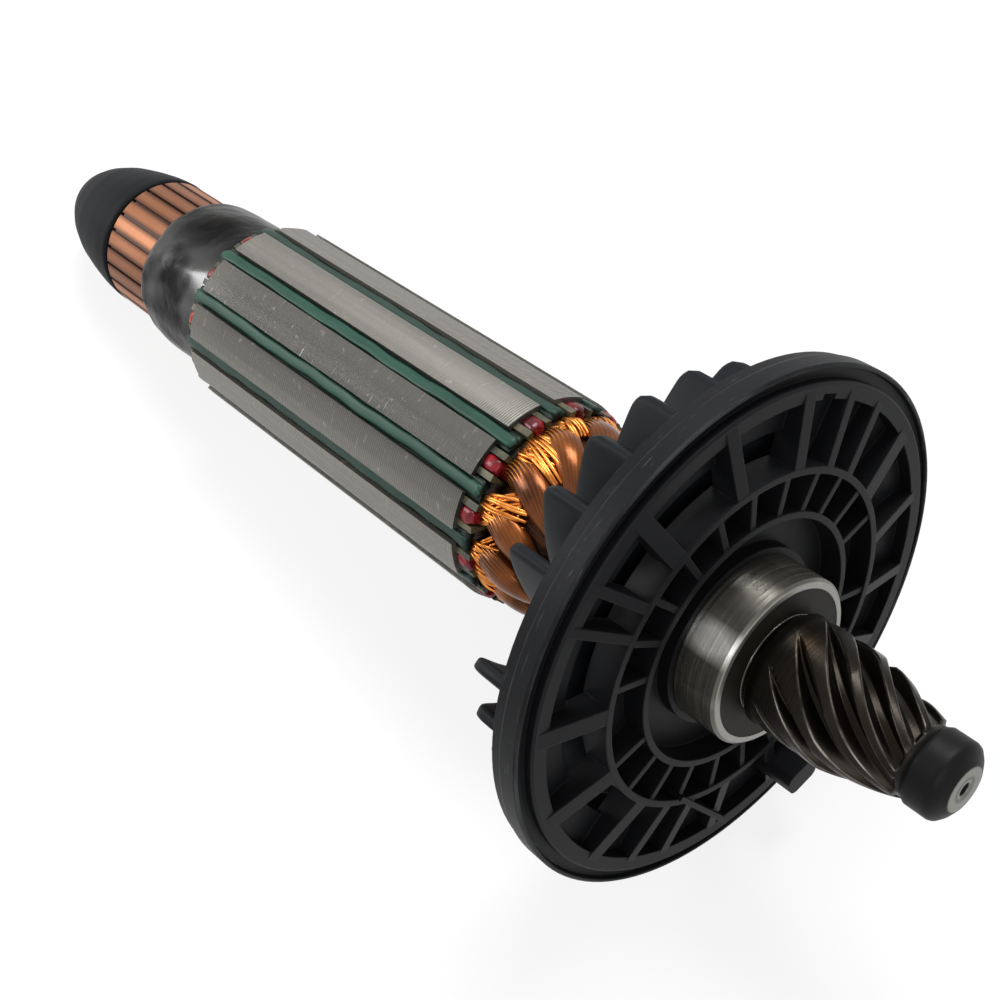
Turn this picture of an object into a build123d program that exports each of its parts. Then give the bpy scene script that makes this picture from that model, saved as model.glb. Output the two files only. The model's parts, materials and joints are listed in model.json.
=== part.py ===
from build123d import *
import math
import os

# Motor armature: shaft with spiral pinion, two bearings, wound rotor, commutator, fan and air guide plate.
# Lengths are in millimetres. Every piece is drawn along the shaft: z runs towards the pinion and is zero
# at the front face of the front bearing. At the end the armature is laid down as it rests, on the rim of
# the air guide plate and on the rear cap.

# Fused pieces reach this far into each other, and cuts run this far past what they cut
bite = 0.4
past = 1.0

# Shaft
collar_r = 13.2
collar_start = 1.7
collar_neck_r = 11.4
cone_start = 20.0
cone_end = 35.4
cone_end_r = 9.3
neck_r = 8.2
journal_start = 38.0
journal_end = 43.8
journal_r = 8.9
journal_lead = 0.6
journal_edge = 0.4
tip_edge_r = 7.2
tip_edge_z = 45.6
tip_face_r = 5.3
tip_z = 46.6
tip_hole_r = 1.7
tip_hole_depth = 4.0
tip_hole_end_r = 0.2
shaft_rotor_r = 8.2
shaft_step = 1.2
shaft_step_gap = 1.0
shaft_step_length = 1.0
shaft_end_gap = 2.5
shaft_end_edge = 0.8

# Spiral pinion
tooth_count = 9
tooth_turn_deg = -4.15
tooth_start = 4.6
tooth_section_step = 1.8
tooth_phase_deg = 14.0
tooth_root_points = [(4.6, 13.17), (8.0, 12.2), (12.0, 10.9), (17.0, 9.8), (24.0, 9.2), (35.4, 7.9)]
tooth_land_points = [(4.6, 0.96), (8.0, 0.72), (12.0, 0.52), (17.0, 0.34), (24.0, 0.26), (35.4, 0.24)]
tooth_floor_points = [(4.6, 0.015), (8.0, 0.06), (12.0, 0.12), (17.0, 0.2), (24.0, 0.24), (35.4, 0.26)]

# Front bearing, 17 x 40 x 12
front_bore_r = 8.5
front_outer_r = 20.0
front_width = 12.0
front_pitch_r = (front_bore_r + front_outer_r) / 2
front_ball_d = 6.7
front_ball_count = 8

# Rear bearing, 10 x 30 x 9
rear_bore_r = 5.0
rear_outer_r = 15.0
rear_width = 9.0
rear_pitch_r = (rear_bore_r + rear_outer_r) / 2
rear_ball_d = 4.7
rear_ball_count = 8
rear_bearing_z = -262.5

# Both bearings
groove_clearance = 0.05
land_share = 0.35
cage_wall = 1.2
cage_rim = 0.7
cage_clearance = 0.12
seal_thickness = 0.8
seal_recess = 0.9
seal_gap = 0.1
seal_seat_share = 0.4
ring_edge = 0.8

# Laminated core
core_r = 26.8
core_front = -75.8
core_rear = -189.2
core_bore_r = 10.4
slot_count = 12
slot_phase_deg = 15.8
slot_mouth = 4.2
slot_lip = 1.5
slot_top_width = 7.2
slot_bottom_width = 4.4
slot_bottom_r = 14.2
slot_shoulder = 0.7
slot_knee_share = 0.5
slot_base_share = 0.55

# Slot fillings
liner_thickness = 0.35
liner_gap = 0.02
wedge_thickness = 1.3
wedge_recess = 0.5
wedge_foot_gap = 0.9
wedge_rib_gap = 0.15
wedge_out_front = 5.2
wedge_out_rear = 3.2
cuff_fold = 0.6
cuff_bottom_r = 20.4
cuff_front = 4.9
cuff_rear = 3.0

# End insulators
insulator_front = 5.0
insulator_rear = 3.0
insulator_arm = 4.0
insulator_tip_inset = 0.7
insulator_hub_r = 15.5
insulator_slot_gap = 0.1

# Windings
sleeve_r = core_bore_r
sleeve_front = -50.5
sleeve_rear = -218.5
head_front_points = [(23.0, 5.0), (23.8, 8.0), (23.6, 13.0), (22.0, 18.0), (18.0, 22.5), (12.6, 25.0)]
head_rear_r = 21.5
head_rear_shoulder = 3.5
head_rear_gap = 0.3
head_rear_edge = (1.2, 2.0)
head_rear_taper = 1.4
bandage_wall = 0.7
bandage_start = 0.7
bandage_gap = 0.02
bandage_hem = 1.0
bandage_end_share = 0.7

# Commutator
bar_count = 24
bar_r = 20.1
bar_inner_r = 15.0
bar_gap = 0.9
bar_phase_deg = 0.6
bar_front = -221.8
bar_rear = -247.2
riser_r = 21.0
riser_length = 2.4
riser_gap = 0.1
mica_depth = 1.1
moulding_bore_r = 7.0
moulding_rear = -248.2
moulding_lead = 0.9
moulding_lead_width = 2.0
moulding_flange = 2.5
moulding_flange_taper = 0.5

# Fan
fan_neck_r = 11.6
fan_gap = 0.5
fan_hub_r = 13.5
fan_neck_edge = 1.2
fan_hub_foot = 3.5
fan_hub_straight = 9.0
fan_hub_taper = 1.0
fan_disc_r = 46.0
fan_disc_front = -20.7
fan_disc_thickness = 2.2
fan_rear = -37.6
fan_blade_r = 52.8
fan_blade_inner_r = 27.0
fan_blade_count = 24
fan_blade_phase_deg = 3.4
fan_blade_lean_deg = 41.0
fan_blade_width = 4.3
fan_blade_taper = 1.5
fan_corner = 3.0
fan_inner_drop = 7.0
fan_broken_blade = 22
fan_stub_r = 41.0

# Air guide plate
plate_r = 63.3
rim_shift = 1.3
plate_front = -12.3
plate_step = -16.6
plate_rear = -19.8
plate_step_depth = 0.7
plate_step_lip = 0.3
rim_wall = 1.6
rim_edge = 0.4
rim_lip_edge = 0.3
rim_groove_depth = 1.4
rim_lip_width = 1.2
rim_groove_width = 2.4
rim_band_width = 3.8
rim_groove_r = plate_r - rim_lip_width - rim_groove_width
rim_inner_r = rim_groove_r - rim_band_width
rim_band_front = -11.3
rim_band_edge = 0.5
rim_web_rear = -15.8
ring_front = -8.8
ring_mid_r = 41.4
ring_mid_wall = 1.6
ring_inner_r = 29.6
ring_inner_wall = 1.5
floor_front = -14.6
floor_rear = -16.2
plate_collar_wall = 1.5
seat_drop = 0.1
plate_stop_r = 18.4
axis_of_plate_deg = -18.5
outer_ribs = [
    (0.0, 2.2), (9.5, 2.4), (25.0, 4.2), (50.5, 3.2), (73.5, 3.2), (88.5, 2.4), (100.5, 2.4),
    (117.5, 4.4), (139.5, 2.8), (160.5, 2.8), (180.0, 2.8), (-25.0, 4.2), (-50.5, 4.4), (-74.5, 4.0),
    (-89.5, 2.6), (-101.5, 2.6), (-117.5, 2.8), (-138.0, 2.8), (-160.5, 2.8),
]
inner_ribs_deg = [
    -144, -129, -113, -98, -82.5, -67, -35.5, -20, -6, 8.5, 23, 37, 51.5, 66, 79.5, 94, 109, 141,
    157, 172, -172, -158,
]
inner_rib_width = 1.5
inner_rib_drop = 0.4
guard_wall_u = -35.6
guard_wall_thickness = 1.3
guard_wall_v = (-38.5, -14.0)
guard_wall_front = -7.6
peg_r = 50.0
peg_deg = -159.0
peg_size = (9.0, 6.0)
peg_corner_share = 0.35
peg_front = -2.0
rib_reach_r = rim_inner_r + rim_shift + bite
ledge_r = 48.0
open_sectors_deg = [(-113.0, 57.0), (98.0, 112.0)]
notch_deg = 61.7
notch_r = (53.0, 56.5)
notch_width = 4.2

# Rear cap
cap_front = -248.6
cap_bore_mouth_r = 17.5
cap_bore_wall = 2.4
cap_points = [(20.4, -248.6), (19.9, -255.0), (18.8, -262.0), (16.9, -271.0), (14.3, -278.5),
              (11.3, -284.4), (7.7, -288.7), (3.9, -291.2), (0.0, -292.2)]
cap_bore_rear = rear_bearing_z - rear_width
cap_core_r = 11.5
cap_core_rear = -282.0
cap_core_edge = (2.0, 2.5)
cap_lip = 0.5
cap_mouth_rise = 3.5

# Lying pose
up_angle_deg = 32.8


def polar(r, deg):
    """Point at radius r, turned deg from +Y towards +X."""
    a = math.radians(deg)
    return (r * math.sin(a), r * math.cos(a))


def turned(shape, deg):
    """The shape turned about the shaft, the same way round as polar."""
    return Rot(0, 0, -deg) * shape


def ring(r_in, r_out, z_low, z_high):
    """A plain washer or tube."""
    face = Circle(r_out)
    if r_in > 0:
        face -= Circle(r_in)
    return extrude(Plane.XY.offset(z_low) * face, z_high - z_low)


def lathe(points):
    """A turned piece from its half section, given as radius and height."""
    wire = Polyline(*[(r, 0, z) for r, z in points], close=True)
    return revolve(make_face(wire), Axis.Z)


def prism(points, z_low, z_high):
    """A straight piece with a polygon for its section."""
    face = make_face(Polyline(*points, close=True))
    return extrude(Plane.XY.offset(z_low) * face, z_high - z_low)


def sector(r_in, r_out, start_deg, stop_deg, z_low, z_high):
    """A piece of a washer between two angles."""
    facet_deg = 30
    steps = max(2, round((stop_deg - start_deg) / facet_deg))
    reach = 2 * r_out
    fan_shape = [polar(reach, start_deg + (stop_deg - start_deg) * k / steps) for k in range(steps + 1)]
    return ring(r_in, r_out, z_low, z_high) & prism([(0, 0)] + fan_shape, z_low, z_high)


def box(x_low, x_high, y_low, y_high, z_low, z_high):
    """A rectangular block from its six faces."""
    corners = [(x_low, y_low), (x_high, y_low), (x_high, y_high), (x_low, y_high)]
    return prism(corners, z_low, z_high)


def around(shape, count, phase_deg):
    """Copies of a piece drawn on +Y, set evenly about the shaft."""
    return [turned(shape, phase_deg + 360.0 * k / count) for k in range(count)]


def group(shapes):
    """Separate solids kept in one node."""
    solids = []
    for shape in shapes:
        solids += shape.solids()
    return Compound(children=solids)


def between(points, z):
    """Straight-line value from a table of height and value."""
    for (z0, v0), (z1, v1) in zip(points, points[1:]):
        if z <= z1:
            return v0 + (v1 - v0) * (z - z0) / (z1 - z0)
    return points[-1][1]


def blank_r(z):
    """Outside radius of the pinion blank."""
    if z < cone_start:
        return collar_r
    return collar_r + (cone_end_r - collar_r) * (z - cone_start) / (cone_end - cone_start)


def pinion_section(z):
    """Section of the toothed length at one height: lands on the blank joined by flat-floored gaps."""
    pitch = 360.0 / tooth_count
    top = blank_r(z)
    root = between(tooth_root_points, z)
    land = pitch * between(tooth_land_points, z) / 2
    floor = pitch * between(tooth_floor_points, z) / 2
    corners = []
    for k in range(tooth_count):
        mid = tooth_phase_deg + k * pitch + tooth_turn_deg * (z - tooth_start)
        gap = mid + pitch / 2
        corners += [polar(top, mid - land), polar(top, mid), polar(top, mid + land)]
        corners += [polar(root, gap - floor), polar(root, gap + floor)]
    return Plane.XY.offset(z) * make_face(Polyline(*corners, close=True))


def make_shaft():
    """One steel piece: pinion, collar, journal, bearing seats and the length inside the core."""
    steps = round((cone_end - tooth_start) / tooth_section_step)
    sections = [pinion_section(tooth_start + (cone_end - tooth_start) * k / steps) for k in range(steps + 1)]
    teeth = loft(sections, ruled=True)
    collar = ring(0, collar_r, collar_start, tooth_start)
    neck = ring(0, collar_neck_r, 0, collar_start)
    nose = lathe([
        (0, cone_end), (neck_r, cone_end), (neck_r, journal_start - journal_lead),
        (journal_r - journal_edge, journal_start), (journal_r, journal_start + journal_edge),
        (journal_r, journal_end), (tip_edge_r, tip_edge_z), (tip_face_r, tip_z), (0, tip_z),
    ])
    top = (Align.CENTER, Align.CENTER, Align.MAX)
    nose -= Pos(0, 0, tip_z) * Cone(tip_hole_end_r, tip_hole_r, tip_hole_depth, align=top)
    step_z = sleeve_rear - shaft_step_gap
    shoulder_z = moulding_rear - shaft_step_gap
    end = rear_bearing_z - rear_width - shaft_end_gap
    body = lathe([
        (0, 0), (front_bore_r, 0), (front_bore_r, -front_width), (shaft_rotor_r, -front_width),
        (shaft_rotor_r, step_z), (moulding_bore_r, step_z - shaft_step_length),
        (moulding_bore_r, shoulder_z), (moulding_bore_r - shaft_step, shoulder_z),
        (moulding_bore_r - shaft_step, rear_bearing_z), (rear_bore_r, rear_bearing_z),
        (rear_bore_r, end + shaft_end_edge), (rear_bore_r - shaft_end_edge, end), (0, end),
    ])
    return body + neck + collar + teeth + nose


def race_pair(bore_r, outer_r, pitch_r, ball_d, z_front, width):
    """Inner and outer ring of a ball bearing with their grooves, seal seats and edge chamfers."""
    z_rear = z_front - width
    groove = Pos(0, 0, z_front - width / 2) * Torus(pitch_r, ball_d / 2 + groove_clearance)
    inner_land = pitch_r - ball_d * land_share
    outer_land = pitch_r + ball_d * land_share
    inner = ring(bore_r, inner_land, z_rear, z_front) - groove
    outer = lathe([
        (outer_land, z_front), (outer_r - ring_edge, z_front), (outer_r, z_front - ring_edge),
        (outer_r, z_rear + ring_edge), (outer_r - ring_edge, z_rear), (outer_land, z_rear),
    ])
    outer -= groove
    seat_r = seal_seat_r(outer_r, pitch_r, ball_d)
    for z_low in (z_front - seal_recess, z_rear):
        outer -= ring(outer_land - past, seat_r, z_low, z_low + seal_recess)
    return inner, outer


def seal_seat_r(outer_r, pitch_r, ball_d):
    """Radius of the groove that holds the edge of a seal."""
    outer_land = pitch_r + ball_d * land_share
    return outer_land + (outer_r - outer_land) * seal_seat_share


def make_seal(outer_r, pitch_r, ball_d, z_face, side):
    """Sealing washer just inside the face at z_face; side is 1 at the front and -1 at the rear."""
    z_low = z_face - seal_recess if side > 0 else z_face + seal_recess - seal_thickness
    inner_r = pitch_r - ball_d * land_share + seal_gap
    return ring(inner_r, seal_seat_r(outer_r, pitch_r, ball_d), z_low, z_low + seal_thickness)


def make_balls(pitch_r, ball_d, count, z_mid):
    """The balls of one bearing."""
    ball = Pos(0, pitch_r, z_mid) * Sphere(ball_d / 2)
    return group(around(ball, count, 0))


def make_cage(pitch_r, ball_d, count, z_mid):
    """A ribbon cage: a thin ring with a round pocket for each ball."""
    half = ball_d / 2 + cage_clearance + cage_rim
    cage = ring(pitch_r - cage_wall / 2, pitch_r + cage_wall / 2, z_mid - half, z_mid + half)
    pocket = Pos(0, pitch_r, z_mid) * Rot(90, 0, 0) * Cylinder(ball_d / 2 + cage_clearance, ball_d)
    for cut in around(pocket, count, 0):
        cage -= cut
    return cage


def slot_half_width(r):
    """Half width of the slot cavity at a radius, from its rounded bottom to the lip."""
    top = core_r - slot_lip
    share = (r - slot_bottom_r) / (top - slot_bottom_r)
    return (slot_bottom_width + (slot_top_width - slot_bottom_width) * share) / 2


def slot_outline(inset, r_low, r_high):
    """Tapered outline inside the slot, inset from its walls, drawn on +Y."""
    base = slot_half_width(r_low) - inset
    knee = r_low + base * slot_knee_share
    shoulder = r_high - slot_shoulder
    right = [
        (base * slot_base_share, r_low), (slot_half_width(knee) - inset, knee),
        (slot_half_width(shoulder) - inset, shoulder),
        (slot_half_width(r_high) - inset - slot_shoulder, r_high),
    ]
    return right + [(-x, y) for x, y in right[::-1]]


def make_core():
    """The pressed stack of laminations with its slots."""
    core = ring(core_bore_r, core_r, core_rear, core_front)
    low = core_rear - past
    high = core_front + past
    cavity_top = core_r - slot_lip
    cavity = prism(slot_outline(0, slot_bottom_r, cavity_top), low, high)
    mouth = box(-slot_mouth / 2, slot_mouth / 2, cavity_top - past, core_r + past, low, high)
    cut = cavity + mouth
    for slot in around(cut, slot_count, slot_phase_deg):
        core -= slot
    return core


def wedge_seat_r():
    """Radius of the underside of the slot wedges."""
    return core_r - slot_lip - wedge_thickness


def make_wedges():
    """Slot closing strips: a flat foot under the tooth lips with a rib filling the mouth."""
    low = core_rear - wedge_out_rear
    high = core_front + wedge_out_front
    foot_top = core_r - slot_lip - liner_gap
    half = slot_half_width(foot_top) - wedge_foot_gap
    foot = box(-half, half, wedge_seat_r(), foot_top, low, high)
    rib_half = slot_mouth / 2 - wedge_rib_gap
    rib = box(-rib_half, rib_half, foot_top - bite, core_r - wedge_recess, low, high)
    return group(around(foot + rib, slot_count, slot_phase_deg))


def arm_edge(r):
    """Distance from a slot's centre line to the side of the insulator arm beside it, at a height r."""
    half_pitch = math.radians(180.0 / slot_count)
    return r * math.tan(half_pitch) - insulator_arm / 2 / math.cos(half_pitch)


def make_liners():
    """Slot papers: a trough against the slot walls with a folded cuff at both ends of each wall."""
    top = wedge_seat_r() - liner_gap
    inset = liner_gap + liner_thickness
    outer = slot_outline(liner_gap, slot_bottom_r + liner_gap, top)
    inner = slot_outline(inset, slot_bottom_r + inset, top + past)
    low = core_rear - cuff_rear
    high = core_front + cuff_front
    trough = prism(outer, low, high) - prism(inner, low - past, high + past)
    cuff_top = core_r - slot_lip - liner_gap
    cuff = [
        (slot_half_width(cuff_bottom_r) - cuff_fold, cuff_bottom_r),
        (arm_edge(cuff_bottom_r) - liner_gap, cuff_bottom_r),
        (arm_edge(cuff_top) - liner_gap, cuff_top),
        (slot_half_width(cuff_top) - cuff_fold, cuff_top),
    ]
    for side in (-1, 1):
        outline = [(side * x, y) for x, y in cuff]
        for z_low, z_high in ((core_front, high), (low, core_rear)):
            trough += prism(outline, z_low, z_high)
    return group(around(trough, slot_count, slot_phase_deg))


def make_insulator(z_low, z_high):
    """End spider: a hub washer with one arm over each tooth."""
    hub = ring(core_bore_r, insulator_hub_r, z_low, z_high)
    reach = core_r - insulator_tip_inset
    arm = box(-insulator_arm / 2, insulator_arm / 2, insulator_hub_r - past, reach, z_low, z_high)
    slot_play = -insulator_slot_gap
    slot = prism(slot_outline(slot_play, slot_bottom_r + slot_play, core_r), z_low - past, z_high + past)
    for piece in around(arm, slot_count, slot_phase_deg + 180.0 / slot_count):
        hub += piece
    for cut in around(slot, slot_count, slot_phase_deg):
        hub -= cut
    return hub


def head_rear_end():
    """Height at which the rear coil head meets the moulded hub of the commutator."""
    return bar_front + moulding_lead + head_rear_gap


def make_windings():
    """Coil sides in the slots joined by a head at each end."""
    inset = 2 * liner_gap + liner_thickness
    top = wedge_seat_r() - 2 * liner_gap
    side = prism(slot_outline(inset, slot_bottom_r + inset, top), core_rear, core_front)
    inset += cuff_fold
    z0 = core_front + insulator_front
    z1 = core_rear - insulator_rear
    side += prism(slot_outline(inset, slot_bottom_r + inset, top), z1, z0)
    front = [(r, core_front + z) for r, z in head_front_points]
    front_head = lathe([(sleeve_r, z0)] + front + [(sleeve_r, front[-1][1])])
    end = head_rear_end()
    edge_in, edge_back = head_rear_edge
    rear_head = lathe([
        (sleeve_r, z1), (head_rear_r - edge_in, z1), (head_rear_r, z1 - edge_back),
        (head_rear_r, end + head_rear_shoulder), (head_rear_r - head_rear_taper, end), (sleeve_r, end),
    ])
    coil = front_head + rear_head
    for piece in around(side, slot_count, slot_phase_deg):
        coil += piece
    return coil


def make_bandage():
    """Varnished wrap over the rear coil head and the risers of the bars."""
    start = core_rear - insulator_rear - bandage_start
    inner = head_rear_r + bandage_gap
    outer = inner + bandage_wall
    over_risers = riser_r + riser_gap
    shoulder = head_rear_end() + head_rear_shoulder
    riser_end = bar_front - riser_length - riser_gap
    edge = riser_end - bandage_hem
    return lathe([
        (inner, start), (outer, start), (outer, shoulder), (over_risers + bandage_wall, bar_front),
        (over_risers + bandage_wall * bandage_end_share, riser_end), (bar_r + bandage_wall, edge),
        (bar_r + riser_gap, edge), (bar_r + riser_gap, riser_end), (over_risers, riser_end),
        (over_risers, bar_front), (inner, shoulder),
    ])


def make_bars():
    """Copper segments, each with a riser at its front end."""
    blank = ring(bar_inner_r, bar_r, bar_rear, bar_front)
    blank += ring(bar_r - past, riser_r, bar_front - riser_length, bar_front)
    half_gap = bar_gap / 2
    cut = box(-half_gap, half_gap, bar_inner_r - past, riser_r + past, bar_rear - past, bar_front + past)
    for slot in around(cut, bar_count, bar_phase_deg):
        blank -= slot
    return group([blank])


def make_moulding():
    """Moulded hub of the commutator with a thin rib between each pair of bars."""
    front = bar_front + moulding_lead
    flange_r = bar_inner_r + moulding_flange
    hub = lathe([
        (moulding_bore_r, front), (bar_inner_r - moulding_lead_width, front), (bar_inner_r, bar_front),
        (bar_inner_r, bar_rear), (flange_r, bar_rear), (flange_r - moulding_flange_taper, moulding_rear),
        (moulding_bore_r, moulding_rear),
    ])
    rib = box(-bar_gap / 2, bar_gap / 2, bar_inner_r - past, bar_r - mica_depth, bar_rear, bar_front)
    for piece in around(rib, bar_count, bar_phase_deg):
        hub += piece
    return hub


def blade_outline():
    """Plan of one backward-leaning blade whose outer end is on +Y."""
    lean = math.tan(math.radians(fan_blade_lean_deg))
    steps = 4
    lead = []
    trail = []
    for k in range(steps + 1):
        r = fan_blade_r + past + (fan_blade_inner_r - fan_blade_r - past) * k / steps
        mid = math.degrees(lean * math.log(r / fan_blade_r))
        half = math.degrees((fan_blade_width - fan_blade_taper * k / steps) / r) / 2
        lead.append(polar(r, mid + half))
        trail.append(polar(r, mid - half))
    return lead + trail[::-1]


def blade_limit(outer_r):
    """Turned body that trims the blades: straight outer edge, rounded back corner and sloping inner end."""
    steps = 3
    profile = [(fan_blade_inner_r - past, fan_disc_front), (outer_r, fan_disc_front)]
    for k in range(steps + 1):
        a = math.radians(90.0 * k / steps)
        profile.append((outer_r - fan_corner * (1 - math.cos(a)), fan_rear + fan_corner * (1 - math.sin(a))))
    profile.append((fan_blade_inner_r + fan_inner_drop, fan_rear))
    profile.append((fan_blade_inner_r - past, fan_rear + fan_inner_drop))
    return lathe(profile)


def make_fan():
    """Radial fan: hub, disc and backward-leaning blades on the side facing the core, one blade broken off."""
    front = -front_width
    disc_rear = fan_disc_front - fan_disc_thickness
    hub_rear = sleeve_front + fan_gap
    hub = lathe([
        (shaft_rotor_r, front), (fan_neck_r, front), (fan_neck_r, fan_disc_front + fan_neck_edge),
        (fan_hub_r, fan_disc_front), (fan_disc_r, fan_disc_front), (fan_disc_r, disc_rear),
        (fan_hub_r + fan_hub_foot, disc_rear), (fan_hub_r, disc_rear - fan_hub_foot),
        (fan_hub_r, disc_rear - fan_hub_straight), (fan_hub_r - fan_hub_taper, hub_rear),
        (shaft_rotor_r, hub_rear),
    ])
    plan = prism(blade_outline(), fan_rear, fan_disc_front)
    blade = plan & blade_limit(fan_blade_r)
    stub = plan & blade_limit(fan_stub_r)
    for k in range(fan_blade_count):
        piece = stub if k == fan_broken_blade else blade
        hub += turned(piece, fan_blade_phase_deg + 360.0 * k / fan_blade_count)
    return hub


def rib_block(deg, width, r_low, r_high, front_low, front_high, rear):
    """A radial rib whose front edge slopes from one height to another."""
    side = Plane(origin=(0, 0, 0), x_dir=(0, 1, 0), z_dir=(1, 0, 0))
    corners = [(r_low, rear), (r_high, rear), (r_high, front_high), (r_low, front_low)]
    face = make_face(Polyline(*corners, close=True))
    return turned(extrude(side * face, width / 2, both=True), deg)


def make_plate():
    """Ribbed air guide: stepped rim, two ring walls, ribs, a well and a collar for the bearing."""
    step_r = plate_r - plate_step_depth
    groove_floor = plate_front - rim_groove_depth
    rim = Pos(0, -rim_shift, 0) * lathe([
        (step_r, plate_rear), (step_r, plate_step), (plate_r, plate_step - plate_step_lip),
        (plate_r, plate_front - rim_edge), (plate_r - rim_edge, plate_front),
        (plate_r - rim_lip_width + rim_lip_edge, plate_front), (plate_r - rim_lip_width, groove_floor),
        (rim_groove_r, groove_floor), (rim_groove_r, rim_band_front - rim_edge),
        (rim_groove_r - rim_band_edge, rim_band_front), (rim_inner_r, rim_band_front),
        (rim_inner_r, rim_web_rear), (step_r - rim_wall, rim_web_rear), (step_r - rim_wall, plate_rear),
    ])
    mid = ring(ring_mid_r - ring_mid_wall, ring_mid_r, floor_rear, ring_front)
    inner = ring(ring_inner_r, ring_inner_r + ring_inner_wall, floor_rear, ring_front)
    collar_r_out = front_outer_r + plate_collar_wall
    floor = ring(collar_r_out - bite, ring_mid_r - bite, floor_rear, floor_front)
    seat_top = -front_width + ring_edge - seat_drop
    collar = lathe([
        (plate_stop_r, -front_width), (front_outer_r - ring_edge, -front_width),
        (front_outer_r - seat_drop, seat_top), (collar_r_out, seat_top), (collar_r_out, floor_rear),
        (plate_stop_r, floor_rear),
    ])
    outer_floor = ring(ring_mid_r - bite, rib_reach_r, floor_rear, floor_front)
    for start, stop in open_sectors_deg:
        outer_floor -= sector(ring_mid_r, ledge_r, start, stop, floor_rear - past, floor_front + past)
    plate = rim + mid + inner + floor + collar + outer_floor
    root = floor_rear + bite
    for offset, width in outer_ribs:
        deg = axis_of_plate_deg + offset
        plate += rib_block(deg, width, ring_mid_r - bite, rib_reach_r, ring_front, rim_band_front, root)
    inner_low_r = ring_inner_r + ring_inner_wall - bite
    inner_high_r = ring_mid_r - ring_mid_wall + bite
    rib_top = ring_front - inner_rib_drop
    for deg in inner_ribs_deg:
        plate += rib_block(deg, inner_rib_width, inner_low_r, inner_high_r, rib_top, rib_top, floor_rear)
    half_notch = notch_width / 2
    notch = box(-half_notch, half_notch, notch_r[0], notch_r[1], floor_rear - past, rim_band_front + past)
    plate -= turned(notch, notch_deg)
    guard_low_u = guard_wall_u - guard_wall_thickness
    guard = box(guard_low_u, guard_wall_u, guard_wall_v[0], guard_wall_v[1], root, guard_wall_front)
    peg_plan = Pos(0, peg_r) * RectangleRounded(peg_size[0], peg_size[1], peg_size[1] * peg_corner_share)
    peg = extrude(Plane.XY.offset(root) * peg_plan, peg_front - root)
    peg = turned(peg, peg_deg)
    return plate + guard + peg


def make_cap():
    """Soft cap over the rear bearing: a tapered cup with a closed round end."""
    edge_in, edge_up = cap_core_edge
    inside = [
        (0, cap_core_rear), (cap_core_r - edge_in, cap_core_rear), (cap_core_r, cap_core_rear + edge_up),
        (cap_core_r, cap_bore_rear), (rear_outer_r, cap_bore_rear), (rear_outer_r, rear_bearing_z + cap_lip),
        (cap_bore_mouth_r, rear_bearing_z + cap_mouth_rise), (cap_points[0][0] - cap_bore_wall, cap_front),
    ]
    return lathe(inside + cap_points)


front_inner, front_outer = race_pair(
    front_bore_r, front_outer_r, front_pitch_r, front_ball_d, 0.0, front_width)
rear_inner, rear_outer = race_pair(
    rear_bore_r, rear_outer_r, rear_pitch_r, rear_ball_d, rear_bearing_z, rear_width)
front_mid = -front_width / 2
rear_mid = rear_bearing_z - rear_width / 2
rear_end = rear_bearing_z - rear_width

nodes = {
    "shaft": make_shaft(),
    "shaft_sleeve": ring(shaft_rotor_r, sleeve_r, sleeve_rear, sleeve_front),
    "lamination_stack": make_core(),
    "slot_liners": make_liners(),
    "slot_wedges": make_wedges(),
    "front_insulator": make_insulator(core_front, core_front + insulator_front),
    "rear_insulator": make_insulator(core_rear - insulator_rear, core_rear),
    "windings": make_windings(),
    "rear_bandage": make_bandage(),
    "commutator_bars": make_bars(),
    "commutator_moulding": make_moulding(),
    "fan": make_fan(),
    "air_guide_plate": make_plate(),
    "front_bearing_inner_ring": front_inner,
    "front_bearing_outer_ring": front_outer,
    "front_bearing_balls": make_balls(front_pitch_r, front_ball_d, front_ball_count, front_mid),
    "front_bearing_cage": make_cage(front_pitch_r, front_ball_d, front_ball_count, front_mid),
    "front_bearing_front_seal": make_seal(front_outer_r, front_pitch_r, front_ball_d, 0.0, 1),
    "front_bearing_rear_seal": make_seal(front_outer_r, front_pitch_r, front_ball_d, -front_width, -1),
    "rear_bearing_inner_ring": rear_inner,
    "rear_bearing_outer_ring": rear_outer,
    "rear_bearing_balls": make_balls(rear_pitch_r, rear_ball_d, rear_ball_count, rear_mid),
    "rear_bearing_cage": make_cage(rear_pitch_r, rear_ball_d, rear_ball_count, rear_mid),
    "rear_bearing_front_seal": make_seal(rear_outer_r, rear_pitch_r, rear_ball_d, rear_bearing_z, 1),
    "rear_bearing_rear_seal": make_seal(rear_outer_r, rear_pitch_r, rear_ball_d, rear_end, -1),
    "rear_cap": make_cap(),
}


def resting_tilt():
    """Angle of the shaft when the plate's rim and the rear cap both touch the floor."""
    rim_r = plate_r - plate_step_depth + rim_shift * math.cos(math.radians(up_angle_deg))
    slopes = [(rim_r - r) / (plate_rear - z) for r, z in cap_points]
    return math.atan(min(slopes))


def resting_place():
    """Placement that lays the armature down, with the shaft in the XZ plane and the pinion towards +X."""
    tilt = resting_tilt()
    up = math.radians(up_angle_deg)
    x_dir = (-math.sin(tilt) * math.sin(up), math.cos(up), math.cos(tilt) * math.sin(up))
    z_dir = (math.cos(tilt), 0, math.sin(tilt))
    return Plane(origin=(0, 0, 0), x_dir=x_dir, z_dir=z_dir).location


place = resting_place()
placed = {name: place * shape for name, shape in nodes.items()}
lows = [shape.bounding_box().min for shape in placed.values()]
highs = [shape.bounding_box().max for shape in placed.values()]
mid_x = (min(v.X for v in lows) + max(v.X for v in highs)) / 2
mid_y = (min(v.Y for v in lows) + max(v.Y for v in highs)) / 2
low_z = min(v.Z for v in lows)

os.makedirs("parts", exist_ok=True)
for name, shape in placed.items():
    export_step(Pos(-mid_x, -mid_y, -low_z) * shape, f"parts/{name}.step")
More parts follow.
